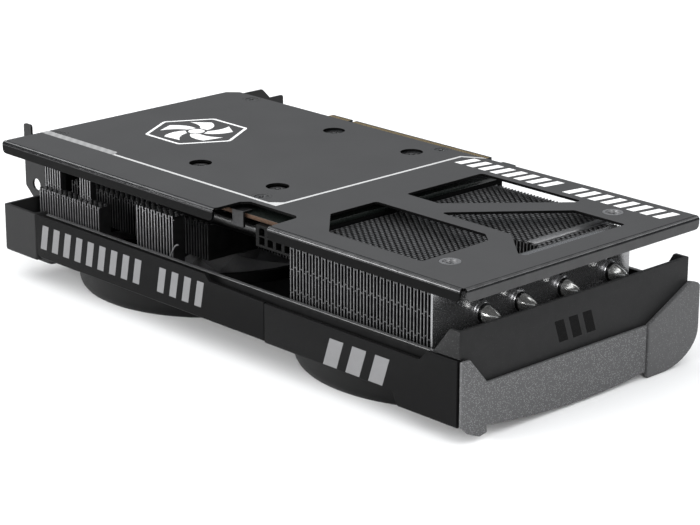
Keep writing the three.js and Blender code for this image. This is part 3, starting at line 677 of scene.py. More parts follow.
def print_mesh(loops, level=sheet_high.z, axis=Z, side=1):
    """Flat print, a few hundredths of a millimetre proud of a surface."""
    low, high = sorted((level, level + side * PRINT))
    return slab_mesh(loops, axis, low, high, edge=0.004 * MM, steps=1)


def bar_run(start, count, pitch, width, height, slant, skip=()):
    """A row of slanted bars as closed loops, sizes in millimetres. start is the first bar's lower corner."""
    pitch, width, height, slant = (size * MM for size in (pitch, width, height, slant))
    loops = []
    for i in range(count):
        if i in skip:
            continue
        x, y = start[0] + i * pitch, start[1]
        loops.append(loop_of((x, y), (x + width, y), (x + width + slant, y + height),
                             (x + slant, y + height)))
    return loops


def printed(name, paint, loops, slot, *surface):
    """A piece of flat print, one slab for each loop. surface is print_mesh's level, axis and side."""
    as_piece(name, merged([print_mesh([loop], *surface) for loop in loops]), paint)


def wheel_blade(centre, turn):
    """A swept blade of the printed wheel."""
    outer, inner = [], []
    for i in range(9):
        t = i / 8
        r = (4.3 + 9.4 * t) * MM
        lead, lag = turn + 0.75 * t, turn + 0.75 * t + 0.85 - 0.25 * t
        outer.append(centre + Vector((math.cos(lead), math.sin(lead))) * r)
        inner.append(centre + Vector((math.cos(lag), math.sin(lag))) * r)
    return outer + inner[::-1]


def make_prints():
    # A line that starts as a wide band, turns at the power notch and leaves at the slot edge.
    wide, line = ([at(x, y, 0).to_2d() for x, y in points] for points in (WIDE_LINE, THIN_LINE))
    as_piece("backplate_line", joined([print_mesh([softened(wide, 0.8 * MM)]), print_mesh([line])]),
             ["print_band", "print"])

    # A plain mark: a six-sided frame round a five-bladed wheel.
    centre = at(*MARK, 0).to_2d()
    hexagon = [[centre + Vector((math.cos(math.pi / 3 * i), math.sin(math.pi / 3 * i))) * r for i in range(6)]
               for r in (MARK_REACH, MARK_REACH - MARK_LINE)]
    wheel = [circle(centre, WHEEL_HUB, 24)]
    wheel += [wheel_blade(centre, 2 * math.pi * blade / WHEEL_BLADES) for blade in range(WHEEL_BLADES)]
    marks = [print_mesh([softened(hexagon[0], 2 * MM), softened(hexagon[1], 1.6 * MM)])]
    marks += [print_mesh([loop]) for loop in wheel]
    as_piece("backplate_mark", merged(marks), "print_white")

    # A row of slanted bars by the slot edge.
    printed("backplate_bars", "print_white", bar_run(at(*BARS, 0), 17, 5.7, 3.3, 8.6, 1.6, skip=(8,)),
            "backplate")


# ------ screws

RECESS_REACH, RECESS_HALF = 0.6, 0.14         # the cross recess, as shares of the head's radius
HEAD_WAIST = 0.55                             # how far down its thickness a head is at its full width
SINK_RIM, SINK_BORE = 3.55 * MM, 1.8 * MM


def cross_loop(centre, reach, half):
    cx, cy = centre
    points = [(reach, -half), (reach, half), (half, half), (half, reach), (-half, reach), (-half, half),
              (-reach, half), (-reach, -half), (-half, -half), (-half, -reach), (half, -reach), (half, -half)]
    return [Vector((cx + x, cy + y)) for x, y in points]


def make_screw(name, radius, top, thickness, shank_radius, shank_top):
    """A screw with a flat head and a cross cut into it, in place of its node."""
    low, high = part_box(name)
    centre = (low + high) / 2
    spot = centre.to_2d()
    cross = cross_loop(spot, radius * RECESS_REACH, radius * RECESS_HALF)
    waist = top - thickness * HEAD_WAIST
    face = slab_mesh([circle(spot, radius, 40), cross], Z, waist, top, edge=0.08 * MM)
    seat = lathe_mesh((centre.x, centre.y, 0), [(0, top - thickness), (radius * 0.9, top - thickness),
                                                (radius, waist), (0, waist)], 40)
    shank = rod_mesh(centre, shank_radius, low.z, shank_top)
    as_piece(f"{name}_head", merged([face, seat, shank]), "screw", replaces=name, smooth=30)
    return centre


def make_countersink(number, centre, paint):
    top = sheet_high.z
    dish = [(SINK_BORE, top - 0.98 * MM), (SINK_RIM - 1.1 * MM, top - 0.90 * MM),
            (SINK_RIM - 1.0 * MM, top - 0.02 * MM), (SINK_RIM, top - 0.02 * MM), (SINK_RIM, top - SHEET),
            (SINK_BORE, top - 1.05 * MM)]
    as_piece(f"backplate_countersink_{number}", lathe_mesh((centre.x, centre.y, 0), dish, 40), paint,
             smooth=30)


def make_screws():
    top = sheet_high.z
    for i in range(1, 7):
        # Four are flat in a painted dish; the last two sit deep in a wide bright ring.
        radius, depth, paint = (1.7, 0.75, "ring_bright") if i > 4 else (2.4, 0.2, "sheet")
        centre = make_screw(f"backplate_screw_{i}", radius * MM, top - depth * MM, 1.1 * MM, 1.2 * MM,
                            top - 1.5 * MM)
        make_countersink(i, centre, paint)
    for i in range(1, 5):
        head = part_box(f"retention_screw_{i}")[1].z
        make_screw(f"retention_screw_{i}", 3.2 * MM, head, 1.4 * MM, 1.5 * MM, head - 1.5 * MM)
    for i in (1, 2):
        low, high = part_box(f"bracket_screw_{i}")
        centre = Vector((0, (low.y + high.y) / 2, (low.z + high.z) / 2))
        r = (high.y - low.y) / 2
        profile = [(0, low.x + 0.7 * MM), (0.9 * MM, low.x + 0.7 * MM), (1.1 * MM, low.x), (r * 0.7, low.x),
                   (r * 0.95, low.x + 0.5 * MM), (r, low.x + 1.2 * MM), (r, high.x), (0, high.x)]
        as_piece(f"bracket_screw_{i}_head", lathe_mesh(centre, profile, 36, axis=X), "screw",
                 replaces=f"bracket_screw_{i}", smooth=30)


# ------ board, chips and connectors

# The span and the lower level of the black strip that stands for the shade under the board's tail edge.
SHADE_STRIP_RUN = (23.4, 110)
SHADE_STRIP_FOOT = 36.6
KEY_PLACE = 59.15                             # the middle of the edge connector's key
KEY_HALF = 1.75 * MM                          # from there to the first contact on either side
CONTACT_PITCH = 1.0 * MM
CONTACT_COUNTS = (11, 71)
CONTACT_HALF, CONTACT_THICKNESS = 0.35 * MM, 0.04 * MM
SMALL_PARTS = 150
SMALL_SIZES = ((1.6, 0.8), (0.8, 1.6), (1.0, 0.5), (3.2, 1.6))
SMALL_HEIGHT, SMALL_GAP = 0.7 * MM, 1.2 * MM
SMALL_LIMIT = 112
BIG_PARTS = ("memory", "gpu", "choke", "power", "fan_cable_plug", "display", "hdmi", "cold_plate",
             "connector")


def make_board():
    low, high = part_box("circuit_board")
    loops = [softened(loop, 0.6 * MM) for loop in outlines("circuit_board", Z, high.z)]
    mesh = slab_mesh(loops, Z, low.z, high.z, edge=0.06 * MM, steps=1)
    board = as_piece("circuit_board_panel", mesh, ["board", "laminate"], replaces="circuit_board")
    # Only the edges not facing the tail show the laminate; the edge facing the tail keeps the board's black,
    # painted shade.
    for face in board.data.polygons:
        if abs(face.normal.z) < 0.4 and face.normal.x < 0.5:
            face.material_index = 1

    # A black strip hangs under the board's tail edge, down towards the fins: a dark piece that stands for the
    # shade in the gap there, painted shade.
    strip = box_mesh((high.x - 2.6 * MM, y_at(SHADE_STRIP_RUN[0]), z_at(SHADE_STRIP_FOOT)),
                     (high.x - 0.4 * MM, y_at(SHADE_STRIP_RUN[1]), low.z - 0.1 * MM))
    as_piece("board_edge_shade_strip", strip, "foam")
    make_contacts(low, high)
    make_small_parts(low, high)


def make_contacts(low, high):
    """Gold contacts along the slot edge on both faces of the board, either side of the key."""
    contacts = []
    key = x_at(KEY_PLACE)
    for count, way in zip(CONTACT_COUNTS, (-1, 1)):
        for i in range(count):
            x = key + way * KEY_HALF + way * i * CONTACT_PITCH
            for level in (high.z, low.z - CONTACT_THICKNESS):
                contacts.append(box_mesh((x - CONTACT_HALF, high.y - 5.2 * MM, level),
                                         (x + CONTACT_HALF, high.y - 0.9 * MM, level + CONTACT_THICKNESS)))
    as_piece("edge_contacts", merged(contacts), "gold")


def make_small_parts(low, high):
    """Small parts scattered over the cooler's side of the board, clear of the big ones."""
    rng = random.Random(SEED)
    busy = [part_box(n) for n in frame["nodes"] if n.startswith(BIG_PARTS)]
    parts = []
    while len(parts) < SMALL_PARTS:
        x = rng.uniform(low.x + 22 * MM, high.x - 4 * MM)
        y = rng.uniform(low.y + 4 * MM, y_at(SMALL_LIMIT))
        w, d = (size * MM for size in rng.choice(SMALL_SIZES))
        if any(a.x - SMALL_GAP - w < x < b.x + SMALL_GAP and a.y - SMALL_GAP - d < y < b.y + SMALL_GAP
               for a, b in busy):
            continue
        busy.append((Vector((x, y, 0)), Vector((x + w, y + d, 0))))
        parts.append(box_mesh((x, y, low.z - SMALL_HEIGHT), (x + w, y + d, low.z)))
    as_piece("board_small_parts", merged(parts), "choke")


def make_chips():
    bevelled("gpu_package", "substrate", 0.15)
    bevelled("gpu_die", "silicon", 0.05)
    for i in range(1, 7):
        bevelled(f"memory_chip_{i}", "chip", 0.12)
    for i in range(1, 5):
        bevelled(f"choke_{i}", "choke", 0.5, 3)
    bevelled("fan_cable_plug", "nylon", 0.3)
    bevelled("connector_clip", "clip", 0.12)
    bevelled("cold_plate", "nickel", 0.3)


SOCKET_MARGIN_X, SOCKET_MARGIN_Z = 1.0 * MM, 0.6 * MM
SOCKET_COLUMNS, SOCKET_ROWS = 4, 2
SOCKET_DEPTH = 8.8 * MM
CELL_HALF = 0.41                              # half a cell and its corner cuts, as shares of the rows' pitch
CELL_CUTS = (0.02, 0.14)
LATCH_HALF = 2.6 * MM
PIN_POINT, PIN_TIP, PIN_RADIUS = 2.2 * MM, 0.35 * MM, 0.6 * MM


def make_power_connector():
    low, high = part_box("power_connector")
    pitch_x = (high.x - low.x - 2 * SOCKET_MARGIN_X) / SOCKET_COLUMNS
    pitch_z = (high.z - low.z - 2 * SOCKET_MARGIN_Z) / SOCKET_ROWS
    half = CELL_HALF * pitch_z
    cells = []
    for i in range(SOCKET_COLUMNS):
        for j in range(SOCKET_ROWS):
            x = low.x + SOCKET_MARGIN_X + (i + 0.5) * pitch_x
            z = low.z + SOCKET_MARGIN_Z + (j + 0.5) * pitch_z
            cut = CELL_CUTS[(i + j) % 2] * pitch_z
            cells.append(loop_of((x - half, z - half), (x + half, z - half), (x + half, z + half - cut),
                                 (x + half - cut, z + half), (x - half + cut, z + half),
                                 (x - half, z + half - cut)))
    outer = softened(rectangle(low.x, low.z, high.x, high.z), 0.5 * MM)
    floor = low.y + SOCKET_DEPTH
    middle = (low.x + high.x) / 2
    parts = [slab_mesh([outer] + cells, Y, low.y, floor, edge=0.15 * MM),
             slab_mesh([outer], Y, floor, high.y, edge=0.2 * MM),
             box_mesh((middle - LATCH_HALF, low.y + 1.2 * MM, low.z),
                      (middle + LATCH_HALF, low.y + 3.2 * MM, low.z + 0.5 * MM))]
    as_piece("power_connector_housing", merged(parts), "nylon", replaces="power_connector")
    point = low.y + PIN_POINT
    profile = [(0, point), (PIN_TIP, point), (PIN_RADIUS, point + 0.7 * MM), (PIN_RADIUS, floor), (0, floor)]
    pins = []
    for cell in cells:
        x = (cell[0].x + cell[1].x) / 2
        z = (cell[1].y + cell[3].y) / 2
        pins.append(lathe_mesh((x, 0, z), profile, 12, axis=Y))
    as_piece("power_connector_pins", merged(pins), "gold", smooth=40)


BRACKET_FACE = 2 * MM
BRACKET_STEEL = 0.9 * MM
TONGUE_HALF, TONGUE_SIDE = 0.5 * MM, 2.2 * MM


def make_bracket():
    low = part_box("io_bracket")[0]
    face_x = sheet_low.x + BRACKET_FACE
    plate = [softened(loop, 1.0 * MM) for loop in outlines("io_bracket", X, face_x)]
    wing = [softened(loop, 1.2 * MM) for loop in outlines("io_bracket", Y, low.y)]
    sheets = [slab_mesh(plate, X, face_x, face_x + BRACKET_STEEL, edge=0.12 * MM),
              slab_mesh(wing, Y, low.y, low.y + BRACKET_STEEL, edge=0.12 * MM)]
    as_piece("io_bracket_plate", merged(sheets), "bracket", replaces="io_bracket")

    for name in ("display_port_1", "display_port_2", "hdmi_port", "display_port_3"):
        bevelled(name, "shell", 0.12)
        low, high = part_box(name)
        middle = (low.z + high.z) / 2
        outline = rectangle(low.x + 1.4 * MM, low.y + TONGUE_SIDE, high.x - 4 * MM, high.y - TONGUE_SIDE)
        tongue = slab_mesh([outline], Z, middle - TONGUE_HALF, middle + TONGUE_HALF, edge=0.1 * MM)
        as_piece(f"{name}_tongue", tongue, "nylon")


# ------ heat pipes

PIPE = 3.0 * MM
PIPE_FIN_ROWS = (26.5, 43.5, 64, 87.5)
PIPE_PLATE_PITCH = 7
PIPE_LEVELS = (35.5, 32.4)                    # under the cold plate, and through the tail fins
PIPE_END = 226
PIPE_TURN = 66                                # where the first pipe turns back under the bracket-end fins
GPU_PLACE = (93.4, 66.7)
TIP_OVERLAP = 0.3 * MM


def sweep_mesh(points, radius, count=24):
    """A round bar along points, with frames that don't twist."""
    verts, tangents = [], []
    for i in range(len(points)):
        before, after = points[max(0, i - 1)], points[min(len(points) - 1, i + 1)]
        tangents.append((after - before).normalized())
    side = tangents[0].orthogonal().normalized()
    for point, tangent in zip(points, tangents):
        side = (side - tangent * side.dot(tangent)).normalized()
        up = tangent.cross(side)
        for k in range(count):
            t = 2 * math.pi * k / count
            verts.append(point + (side * math.cos(t) + up * math.sin(t)) * radius)
    return mesh_of(verts, bar_faces(len(points), count))


def blend(t, a, b, start, end):
    """Between a, where t is start, and b, where t is end."""
    return a * ((end - t) / (end - start)) + b * ((t - start) / (end - start))


def smooth_path(points, per_span=8):
    """Centripetal Catmull-Rom points through the given ones."""
    points = [Vector(p) for p in points]
    points = [points[0] * 2 - points[1]] + points + [points[-1] * 2 - points[-2]]
    made = []
    for p0, p1, p2, p3 in zip(points, points[1:], points[2:], points[3:]):
        t0 = 0
        t1 = t0 + max(1e-6, (p1 - p0).length) ** 0.5
        t2 = t1 + max(1e-6, (p2 - p1).length) ** 0.5
        t3 = t2 + max(1e-6, (p3 - p2).length) ** 0.5
        for i in range(per_span):
            t = t1 + (t2 - t1) * i / per_span
            a1, a2, a3 = blend(t, p0, p1, t0, t1), blend(t, p1, p2, t1, t2), blend(t, p2, p3, t2, t3)
            b1, b2 = blend(t, a1, a2, t0, t2), blend(t, a2, a3, t1, t3)
            made.append(blend(t, b1, b2, t1, t2))
    made.append(points[-2])
    return made


def pipe_route(i):
    """The heat pipe's centre line, as the frame's solid has it."""
    gpu_x, gpu_y = GPU_PLACE
    cold, fin = PIPE_LEVELS
    fin_y = PIPE_FIN_ROWS[i]
    cold_y = gpu_y + (i - 1.5) * PIPE_PLATE_PITCH
    if i == 0:
        turn = (cold_y - fin_y) / 2
        angles = [math.pi / 2 + math.pi * n / 6 for n in range(7)]
        arc = [(PIPE_TURN + turn * math.cos(t), fin_y + turn + turn * math.sin(t), cold) for t in angles]
        lead = [(gpu_x + 22, cold_y, cold), (gpu_x, cold_y, cold)] + arc + [(100, fin_y, cold)]
    else:
        lead = [(gpu_x - 24, cold_y, cold), (gpu_x + 16, cold_y, cold)]
    near = (gpu_x + 27, fin_y if i == 0 else cold_y + (fin_y - cold_y) * 0.12, cold)
    return lead + [near, (144, fin_y, fin + 0.4), (152, fin_y, fin), (PIPE_END - 22, fin_y, fin),
                   (PIPE_END - 5, fin_y, fin)]


def crimp_mesh(centre, radius, length):
    """A pipe's end, pressed to a blunt cone with shallow flutes, pointing along +x."""
    rings, count = 12, 48
    verts = []
    for i in range(rings + 1):
        t = i / rings
        r = radius * (1 - 0.10 * t - 0.66 * t ** 1.9)
        flute = 0.11 * math.sin(math.pi * min(1, t * 1.15))
        for k in range(count):
            a = 2 * math.pi * k / count
            reach = r * (1 - flute * (0.5 + 0.5 * math.cos(5 * a + 1.1)))
            verts.append(Vector(centre) + Vector((length * t, reach * math.cos(a), reach * math.sin(a))))
    return mesh_of(verts, bar_faces(rings + 1, count))


def make_pipes():
    for i in range(4):
        path = [at(*p) for p in smooth_path(pipe_route(i))]
        end = path[-1]
        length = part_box(f"heat_pipe_{i + 1}")[1].x - end.x + TIP_OVERLAP
        tip = crimp_mesh(end - Vector((TIP_OVERLAP, 0, 0)), PIPE * 0.985, length)
        as_piece(f"heat_pipe_{i + 1}_tube", joined([sweep_mesh(path, PIPE), tip]), ["pipe", "crimp"],
                 replaces=f"heat_pipe_{i + 1}", smooth=50)


# ------ fins

FIN = 0.32 * MM
TAB_STEP = 2.3 * MM
FIN_BURR, NOTCH_BURR = 0.04 * MM, 0.03 * MM   # how far a cut edge stands out from the fin's faces
TAIL_FIN_COUNT, BRACKET_FIN_COUNT, CORNER_FIN_COUNT, MIDDLE_FIN_COUNT = 44, 74, 24, 13
TAIL_STEP_X, TAIL_NARROW_Y = 207, 97.5        # the last fins stop short of the slot side
WELL_X, WELL_RUN = 196.5, (10, 60)            # and have a well round the screw in the corner
SET_BACK_X, SET_BACK_Y = 88, 47               # the bracket-end fins beside the cold plate start further in
CREST_FIN_DEPTH = 5.4 * MM
CREST_FIN_TOP = 32.2
TALL_GROUPS = ((9, 18, 7), (30, 36, 5))       # start, end and count of the fins behind the corner block
TALL_BACK = 12.4
LIP_CORNER = (88.2, 6.2, 23.0)


def fin_loop(y0, y1, z0, z1, notch=None):
    """A fin's outline across x. notch is (start, end, level) of a stretch whose top is lower."""
    points = [(y0, z0), (y1, z0), (y1, z1)]
    if notch:
        start, end, level = notch
        points += [(end, z1), (end, level), (start, level), (start, z1)]
    return loop_of(*points, (y0, z1))


def fins_piece(name, xs, shape, tab_levels, holes=(), new_name=None, edge="fin_edge"):
    """Thin fins at the places xs. shape(x) gives fin_loop's arguments; tab_levels are shares of the height.

    Each fin has a cut edge towards the crest in a lighter finish, a painted highlight along it, small folded
    tabs behind that edge, and a row of folded tabs on its top, set off by half a step from one fin to the
    next.
    """
    pitch = xs[1] - xs[0]
    blades, edges, tabs = [], [], []
    for i, x in enumerate(xs):
        y0, y1, z0, z1, notch = shape(x)
        odd = i % 2
        outline = fin_loop(y0, y1, z0, z1, notch)
        blades.append(slab_mesh([outline, *holes], X, x, x + FIN, edge=0.01 * MM, steps=1))
        edges.append(box_mesh((x - FIN_BURR, y0 - 0.03 * MM, z0), (x + FIN + FIN_BURR, y0 + 0.2 * MM, z1)))
        if notch:
            edges.append(box_mesh((x - NOTCH_BURR, notch[1] - 0.03 * MM, notch[2]),
                                  (x + FIN + NOTCH_BURR, notch[1] + 0.2 * MM, z1)))
        lift = (0.5 if odd else -0.5) * MM
        for share in tab_levels:
            z = z0 + (z1 - z0) * share + lift
            blades.append(box_mesh((x, y0 + 0.05 * MM, z), (x + pitch * 0.8, y0 + 0.3 * MM, z + 0.4 * MM)))
        y = y0 + (0.3 if odd else 0.3 + TAB_STEP / MM / 2) * MM
        while y + TAB_STEP / 2 < y1:
            over_notch = notch and notch[0] - TAB_STEP < y < notch[1]
            if not over_notch:
                tabs.append(box_mesh((x, y, z1 - 0.2 * MM), (x + pitch * 0.6, y + TAB_STEP * 0.48, z1)))
            y += TAB_STEP
    made = joined([merged(blades), merged(edges), merged(tabs)])
    as_piece(new_name or f"{name}_fins", made, ["fin", edge, "fin_tab"],
             replaces=() if new_name else name)


def spread(low, high, count):
    return [low + (high - FIN - low) * i / (count - 1) for i in range(count)]


def make_tail_fins():
    low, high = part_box("fin_stack_tail_end")
    pipe_level = PIPE_LEVELS[1]
    holes = [circle((y_at(y), pipe_level * MM), PIPE + 0.25 * MM, 28) for y in PIPE_FIN_ROWS]
    well = (y_at(WELL_RUN[0]), y_at(WELL_RUN[1]), (pipe_level + 3.6) * MM)

    def shape(x):
        back = high.y if x < x_at(TAIL_STEP_X) else y_at(TAIL_NARROW_Y)
        return low.y, back, low.z, high.z, well if x > x_at(WELL_X) else None

    fins_piece("fin_stack_tail_end", spread(low.x, high.x, TAIL_FIN_COUNT), shape, (0.06, 0.36, 0.66, 0.93),
               holes)


def make_bracket_fins():
    low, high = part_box("fin_stack_bracket_end")

    def shape(x):
        start = low.y if x < x_at(SET_BACK_X) else y_at(SET_BACK_Y)
        return start, high.y, low.z, high.z, None

    fins_piece("fin_stack_bracket_end", spread(low.x, high.x, BRACKET_FIN_COUNT), shape, (0.9,))


def make_crest_fins():
    low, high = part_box("fin_block_crest_corner")
    top = z_at(CREST_FIN_TOP)
    fins_piece("fin_block_crest_corner", spread(low.x, high.x, CORNER_FIN_COUNT),
               lambda x: (low.y, low.y + CREST_FIN_DEPTH, low.z, top, None), (0.04, 0.92), edge="fin_lip")
    for i, (start, end, count) in enumerate(TALL_GROUPS):
        fins_piece(f"tall_fins_{i + 1}", spread(x_at(start), x_at(end), count),
                   lambda x: (y_at(TALL_BACK), high.y, top - 0.5 * MM, high.z, None), (0.1, 0.9),
                   new_name=f"tall_fins_{i + 1}", edge="fin_lip")

    near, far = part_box("fin_block_crest_middle")
    fins_piece("fin_block_crest_middle", spread(near.x, far.x, MIDDLE_FIN_COUNT),
               lambda x: (near.y, far.y, near.z, far.z, None), (0.03, 0.95), edge="fin_lip")
    # The middle block's last fin is folded over in a curved lip.
    bow = [at(*LIP_CORNER) + Vector((6.4 * t, -1.0 * t, 7.4 * math.sin(t * math.pi / 2))) * MM
           for t in [i / 12 for i in range(13)]]
    as_piece("fin_lip_crest_middle", sweep_mesh(bow, 0.3 * MM, 10), "fin_lip", smooth=50)


LIP = (217.9, 222.2, 47.3, 47.7)              # the end plate's top lip, folded towards the tail
LIP_RUN = (38, 90)
FOLD = (205.6, 209.4, 45.0)                   # the folded top of the fin beside the well
FOLD_RUN = (61, 97)
FOLD_SHEET = 0.5
BORE = PIPE + 0.25 * MM
BORE_SLOT_HALF, BORE_SLOT_TOP = 0.95 * MM, 6.3 * MM


def keyhole(y, level):
    """A round hole with a round-topped slot above it."""
    start = math.asin(BORE_SLOT_HALF / BORE)
    arc = [math.pi / 2 - start - (2 * math.pi - 2 * start) * k / 30 for k in range(31)]
    crown = [math.pi - math.pi * k / 8 for k in range(9)]
    crown_level = level + BORE_SLOT_TOP - BORE_SLOT_HALF
    return ([Vector((y + BORE * math.cos(t), level + BORE * math.sin(t))) for t in arc]
            + [Vector((y + BORE_SLOT_HALF * math.cos(t), crown_level + BORE_SLOT_HALF * math.sin(t)))
               for t in crown])


def make_end_plate():
    """The plate that closes the tail fins: pierced for each pipe, with a slot above it and a collar."""
    low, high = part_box("fin_end_plate")
    x0, x1, z0, z1 = LIP
    start, end = (y_at(y) for y in LIP_RUN)
    rise = z_at(z1)
    outer = loop_of((low.y, low.z), (high.y, low.z), (high.y, high.z), (end, high.z), (end, rise),
                    (start, rise), (start, high.z), (low.y, high.z))
    level = PIPE_LEVELS[1] * MM
    collar = [(PIPE + radius * MM, high.x + off * MM) for radius, off in
              ((0.08, 0), (0.08, 1.1), (0.28, 1.25), (0.5, 1.0), (0.6, 0.2), (0.9, 0))]
    rows = [y_at(row) for row in PIPE_FIN_ROWS]
    plate = slab_mesh([softened(outer, 1.0 * MM)] + [keyhole(y, level) for y in rows], X, low.x, high.x,
                      edge=0.1 * MM)
    lip = slab_mesh([softened(rectangle(x_at(x0), start, x_at(x1), end), 1.2 * MM)], Z, z_at(z0), z_at(z1),
                    edge=0.1 * MM)
    collars = [lathe_mesh((0, y, level), collar, 40, axis=X) for y in rows]
    as_piece("fin_end_plate_sheet", merged([plate, lip] + collars), "end_plate", replaces="fin_end_plate",
             smooth=30)

    x0, x1, top = FOLD
    section = [Vector((x_at(x), z_at(z))) for x, z in
               ((x0, top - 2.6), (x0, top + 0.6), (x1, top + 0.6), (x1, top - 9), (x1 - FOLD_SHEET, top - 9),
                (x1 - FOLD_SHEET, top + 0.1), (x0 + FOLD_SHEET, top + 0.1), (x0 + FOLD_SHEET, top - 2.6))]
    fold = slab_mesh([softened(section, 0.8 * MM)], Y, *(y_at(y) for y in FOLD_RUN), edge=0.1 * MM)
    as_piece("fin_fold_tail_end", fold, "fin_tab", smooth=30)


# ------ fans

BLADES = 9
ROTOR_TURN = math.radians(5)
HUB = 19 * MM
BLADE_REACH = 44.8 * MM
BLADE_LEVEL = 8.2 * MM                        # the height of a blade's middle above the ground
BLADE_SPANS, BLADE_CHORDS = 18, 10
MOTOR_CLEARANCE = 2.8 * MM


def hub_mesh(centre, low, high):
    """A cup with a dished cap."""
    profile = [(0, low), (HUB * 0.30, low), (HUB * 0.33, low + 0.25 * MM), (HUB * 0.72, low + 0.25 * MM),
               (HUB * 0.75, low), (HUB - 1.6 * MM, low + 0.05 * MM), (HUB - 0.5 * MM, low + 0.5 * MM),
               (HUB, low + 1.7 * MM), (HUB, high), (HUB - 1.4 * MM, high), (HUB - 1.4 * MM, low + 2.4 * MM),
               (3.4 * MM, low + 2.4 * MM), (3.4 * MM, low + 4 * MM), (1.8 * MM, low + 4 * MM),
               (1.8 * MM, low + 1.4 * MM), (0, low + 1.4 * MM)]
    return lathe_mesh((centre.x, centre.y, 0), profile, 96)


def blade_mesh(centre, reach, turn):
    """A swept, twisted blade: an upper and a lower skin, thinner towards its edges."""
    spans, chords = BLADE_SPANS, BLADE_CHORDS
    root = HUB - 0.6 * MM
    verts, faces = [], []
    for side in (1, -1):
        for i in range(spans + 1):
            along = i / spans
            r = root + along * (reach - root)
            for k in range(chords + 1):
                chord = k / chords - 0.5
                angle = turn + 0.55 * along + chord * (0.62 - 0.1 * along)
                arch = 0.9 * MM * (1 - (2 * chord) ** 2)
                thick = (0.7 - 0.25 * along) * MM * math.sqrt(max(0.02, 1 - (2 * chord) ** 2))
                level = BLADE_LEVEL + (10 - 1.4 * along) * MM * chord - arch * 0.6 + side * thick
                verts.append((centre.x + r * math.cos(angle), centre.y + r * math.sin(angle), level))
    n, m = chords + 1, (spans + 1) * (chords + 1)
    for i in range(spans):
        for k in range(chords):
            a = i * n + k
            faces.append((a, a + n, a + n + 1, a + 1))
            faces.append((m + a, m + a + 1, m + a + n + 1, m + a + n))
        faces.append((i * n, m + i * n, m + (i + 1) * n, (i + 1) * n))
        e = i * n + chords
        faces.append((e, e + n, m + e + n, m + e))
    for k in range(chords):
        faces.append((k, k + 1, m + k + 1, m + k))
        e = spans * n + k
        faces.append((e, m + e, m + e + 1, e + 1))
    return mesh_of(verts, faces)


def axis_of(end):
    """A point on the axis of the fan at an end, from its joint."""
    return Vector(next(joint for joint in frame["joints"] if joint["child"] == f"fan_{end}")["pos_m"])


def make_fans():
    for end in ENDS:
        body = f"fan_{end}"
        low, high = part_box(f"fan_rotor_{end}")
        centre = axis_of(end)
        reach = min((high.x - low.x) / 2 * 0.995, BLADE_REACH)
        wheel = [hub_mesh(centre, low.z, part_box(f"fan_motor_{end}")[1].z - MOTOR_CLEARANCE)]
        wheel += [blade_mesh(centre, reach, ROTOR_TURN + 2 * math.pi * i / BLADES) for i in range(BLADES)]
        as_piece(f"fan_rotor_{end}_wheel", merged(wheel), "blade", body, f"fan_rotor_{end}", smooth=40)
        bevelled(f"fan_shaft_{end}", "steel", 0.2, body=body, smooth=40)
        bevelled(f"fan_motor_{end}", "motor", 0.3)
        mesh = frame["nodes"][f"fan_cable_{end}"].data.copy()
        as_piece(f"fan_cable_{end}_sleeve", mesh, "cable", replaces=f"fan_cable_{end}",
                 smooth=60)


# ------ shroud, bands and tail

RING_SIDES = 128
RING_BORE = 46.4 * MM
RING_UNDER = 9.7 * MM                         # the bowl is full width up to here, a lip's width less above
RING_LIP = 1.9 * MM
RING_FILLET = 4.2 * MM
TRAY_FLOOR, TRAY_TOP = 10 * MM, 12 * MM
TRAY_CORNER = 1.5 * MM
CORNER_BOX = (21.6, 14.6)
CORNER_FOOT = 9
FOOT = (5, -0.2, 28, 12)
FOOT_LEVELS = (8.6, 10.4)


def ring_mesh(bowl, bowl_radius, bore, top):
    """A fan ring: a round bowl outside, a bore set off from its middle inside."""
    outer = []
    for i in range(9):
        t = math.pi / 2 * i / 8
        outer.append((bowl_radius - RING_FILLET * 0.52 * (1 - math.sin(t)), RING_FILLET * (1 - math.cos(t))))
    outer += [(bowl_radius, RING_UNDER), (bowl_radius - RING_LIP, RING_UNDER), (bowl_radius - RING_LIP, top)]
    inner = [(RING_BORE, top), (RING_BORE, 2.2 * MM), (RING_BORE + 0.2 * MM, 0.8 * MM),
             (RING_BORE + 0.6 * MM, 0.15 * MM), (RING_BORE + 1.0 * MM, 0.0)]
    verts = []
    for k in range(RING_SIDES):
        t = 2 * math.pi * k / RING_SIDES
        way = Vector((math.cos(t), math.sin(t)))
        for middle, profile in ((bowl, outer), (bore, inner)):
            verts += [(middle.x + way.x * r, middle.y + way.y * r, z) for r, z in profile]
    return mesh_of(verts, ring_faces(RING_SIDES, len(outer) + len(inner), closed=True))


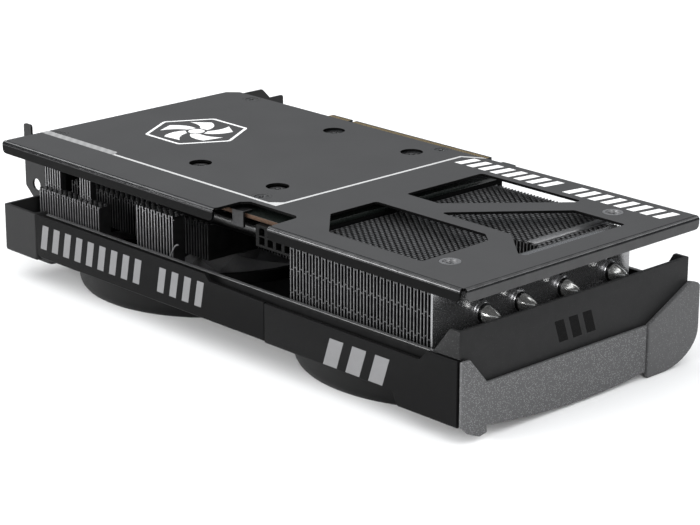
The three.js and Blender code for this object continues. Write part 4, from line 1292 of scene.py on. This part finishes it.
def make_shroud():
    low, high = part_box("shroud_tray")
    wall_top = high.z - 1.0 * MM
    floor, walls, corner = ([softened(loop, radius) for loop in outlines("shroud_tray", Z, level)]
                            for level, radius in ((TRAY_FLOOR, TRAY_CORNER), (wall_top, TRAY_CORNER),
                                                  (high.z, 1.0 * MM)))
    parts = [slab_mesh(floor, Z, TRAY_FLOOR, TRAY_TOP, edge=0.3 * MM),
             slab_mesh(walls, Z, TRAY_TOP - 0.6 * MM, wall_top, edge=0.25 * MM)]
    tray = as_piece("shroud_tray_floor", merged(parts), ["shroud", "shroud_rim"], replaces="shroud_tray")
    # The upward faces at the top of the walls take the lighter rim finish: a painted highlight.
    for face in tray.data.polygons:
        if face.center.z > wall_top - 0.3 * MM and face.normal.z > 0.2:
            face.material_index = 1

    # The corner box at the bracket end, a shade lighter, with its lower edge rounded.
    base = z_at(CORNER_FOOT)
    rim = slab_mesh(corner, Z, base + 1.5 * MM, high.z, edge=0.3 * MM)
    outline = rectangle(low.x, low.y, x_at(CORNER_BOX[0]), y_at(CORNER_BOX[1]))
    bottom = slab_mesh([softened(outline, 1.0 * MM)], Z, base, base + 3 * MM, edge=1.2 * MM, steps=4)
    as_piece("shroud_corner_box", merged([rim, bottom]), "corner", smooth=30)

    x0, y0, x1, y1 = FOOT
    foot = softened(rectangle(x_at(x0), y_at(y0), x_at(x1), y_at(y1)), 2 * MM)
    as_piece("shroud_foot", slab_mesh([foot], Z, *(z_at(z) for z in FOOT_LEVELS), edge=0.3 * MM), "shroud")

    for end in ENDS:
        low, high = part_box(f"fan_ring_{end}")
        mesh = ring_mesh((low + high) / 2, (high.y - low.y) / 2, axis_of(end), high.z)
        as_piece(f"fan_ring_{end}_bowl", mesh, "ring", replaces=f"fan_ring_{end}", smooth=35)


def make_band(name):
    """A side band with a wide round along its lower edge and small ones on the rest."""
    mesh = frame["nodes"][name].data.copy()
    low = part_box(name)[0]
    with edited(mesh) as bm:
        cleaned(bm)
        outer = [e for e in bm.edges if all(abs(v.co.y - low.y) < 1e-5 for v in e.verts)]
        under = [e for e in outer if max(v.co.z for v in e.verts) < low.z + 6 * MM
                 and abs(e.verts[0].co.x - e.verts[1].co.x) > 10 * MM]
        bevel(bm, under, 1.1 * MM, 3, profile=0.6)
        bevel(bm, sharp_edges(bm, 60), 0.15 * MM, 2)
    as_piece(f"{name}_strip", mesh, "band", replaces=name, smooth=25)


def make_bands():
    for end in ENDS:
        make_band(f"side_band_{end}")
    # Plain slanted bars stand where the real card has lettering.
    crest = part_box("side_band_bracket_end")[0].y
    printed("side_band_bars_bracket_end", "print_grey",
            bar_run((x_at(24.5), z_at(14.6)), 14, 6.7, 3.5, 9.2, 1.8, skip=(9,)), "band", crest, Y, -1)
    printed("side_band_bars_tail_end", "print_grey",
            bar_run((x_at(176), z_at(10.8)), 3, 10.5, 6.4, 9.6, 3.2), "band", crest, Y, -1)


def make_tail():
    bevelled("tail_wall", "wall", 0.35, 3, smooth=25)
    bevelled("tail_trim", "trim", 0.35, 3, smooth=25)
    bevelled("tail_trim_slot_side", "trim", 0.4, 3, smooth=25)
    printed("tail_wall_bars", "gloss", bar_run((y_at(44), z_at(22.5)), 3, 6.6, 4.2, 7.5, -2.6), "band",
            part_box("tail_wall")[1].x, X, 1)


make_camera()
make_floor()
make_lights()
make_backplate()
make_prints()
make_screws()
make_board()
make_chips()
make_power_connector()
make_bracket()
make_pipes()
make_tail_fins()
make_bracket_fins()
make_crest_fins()
make_end_plate()
make_fans()
make_shroud()
make_bands()
make_tail()
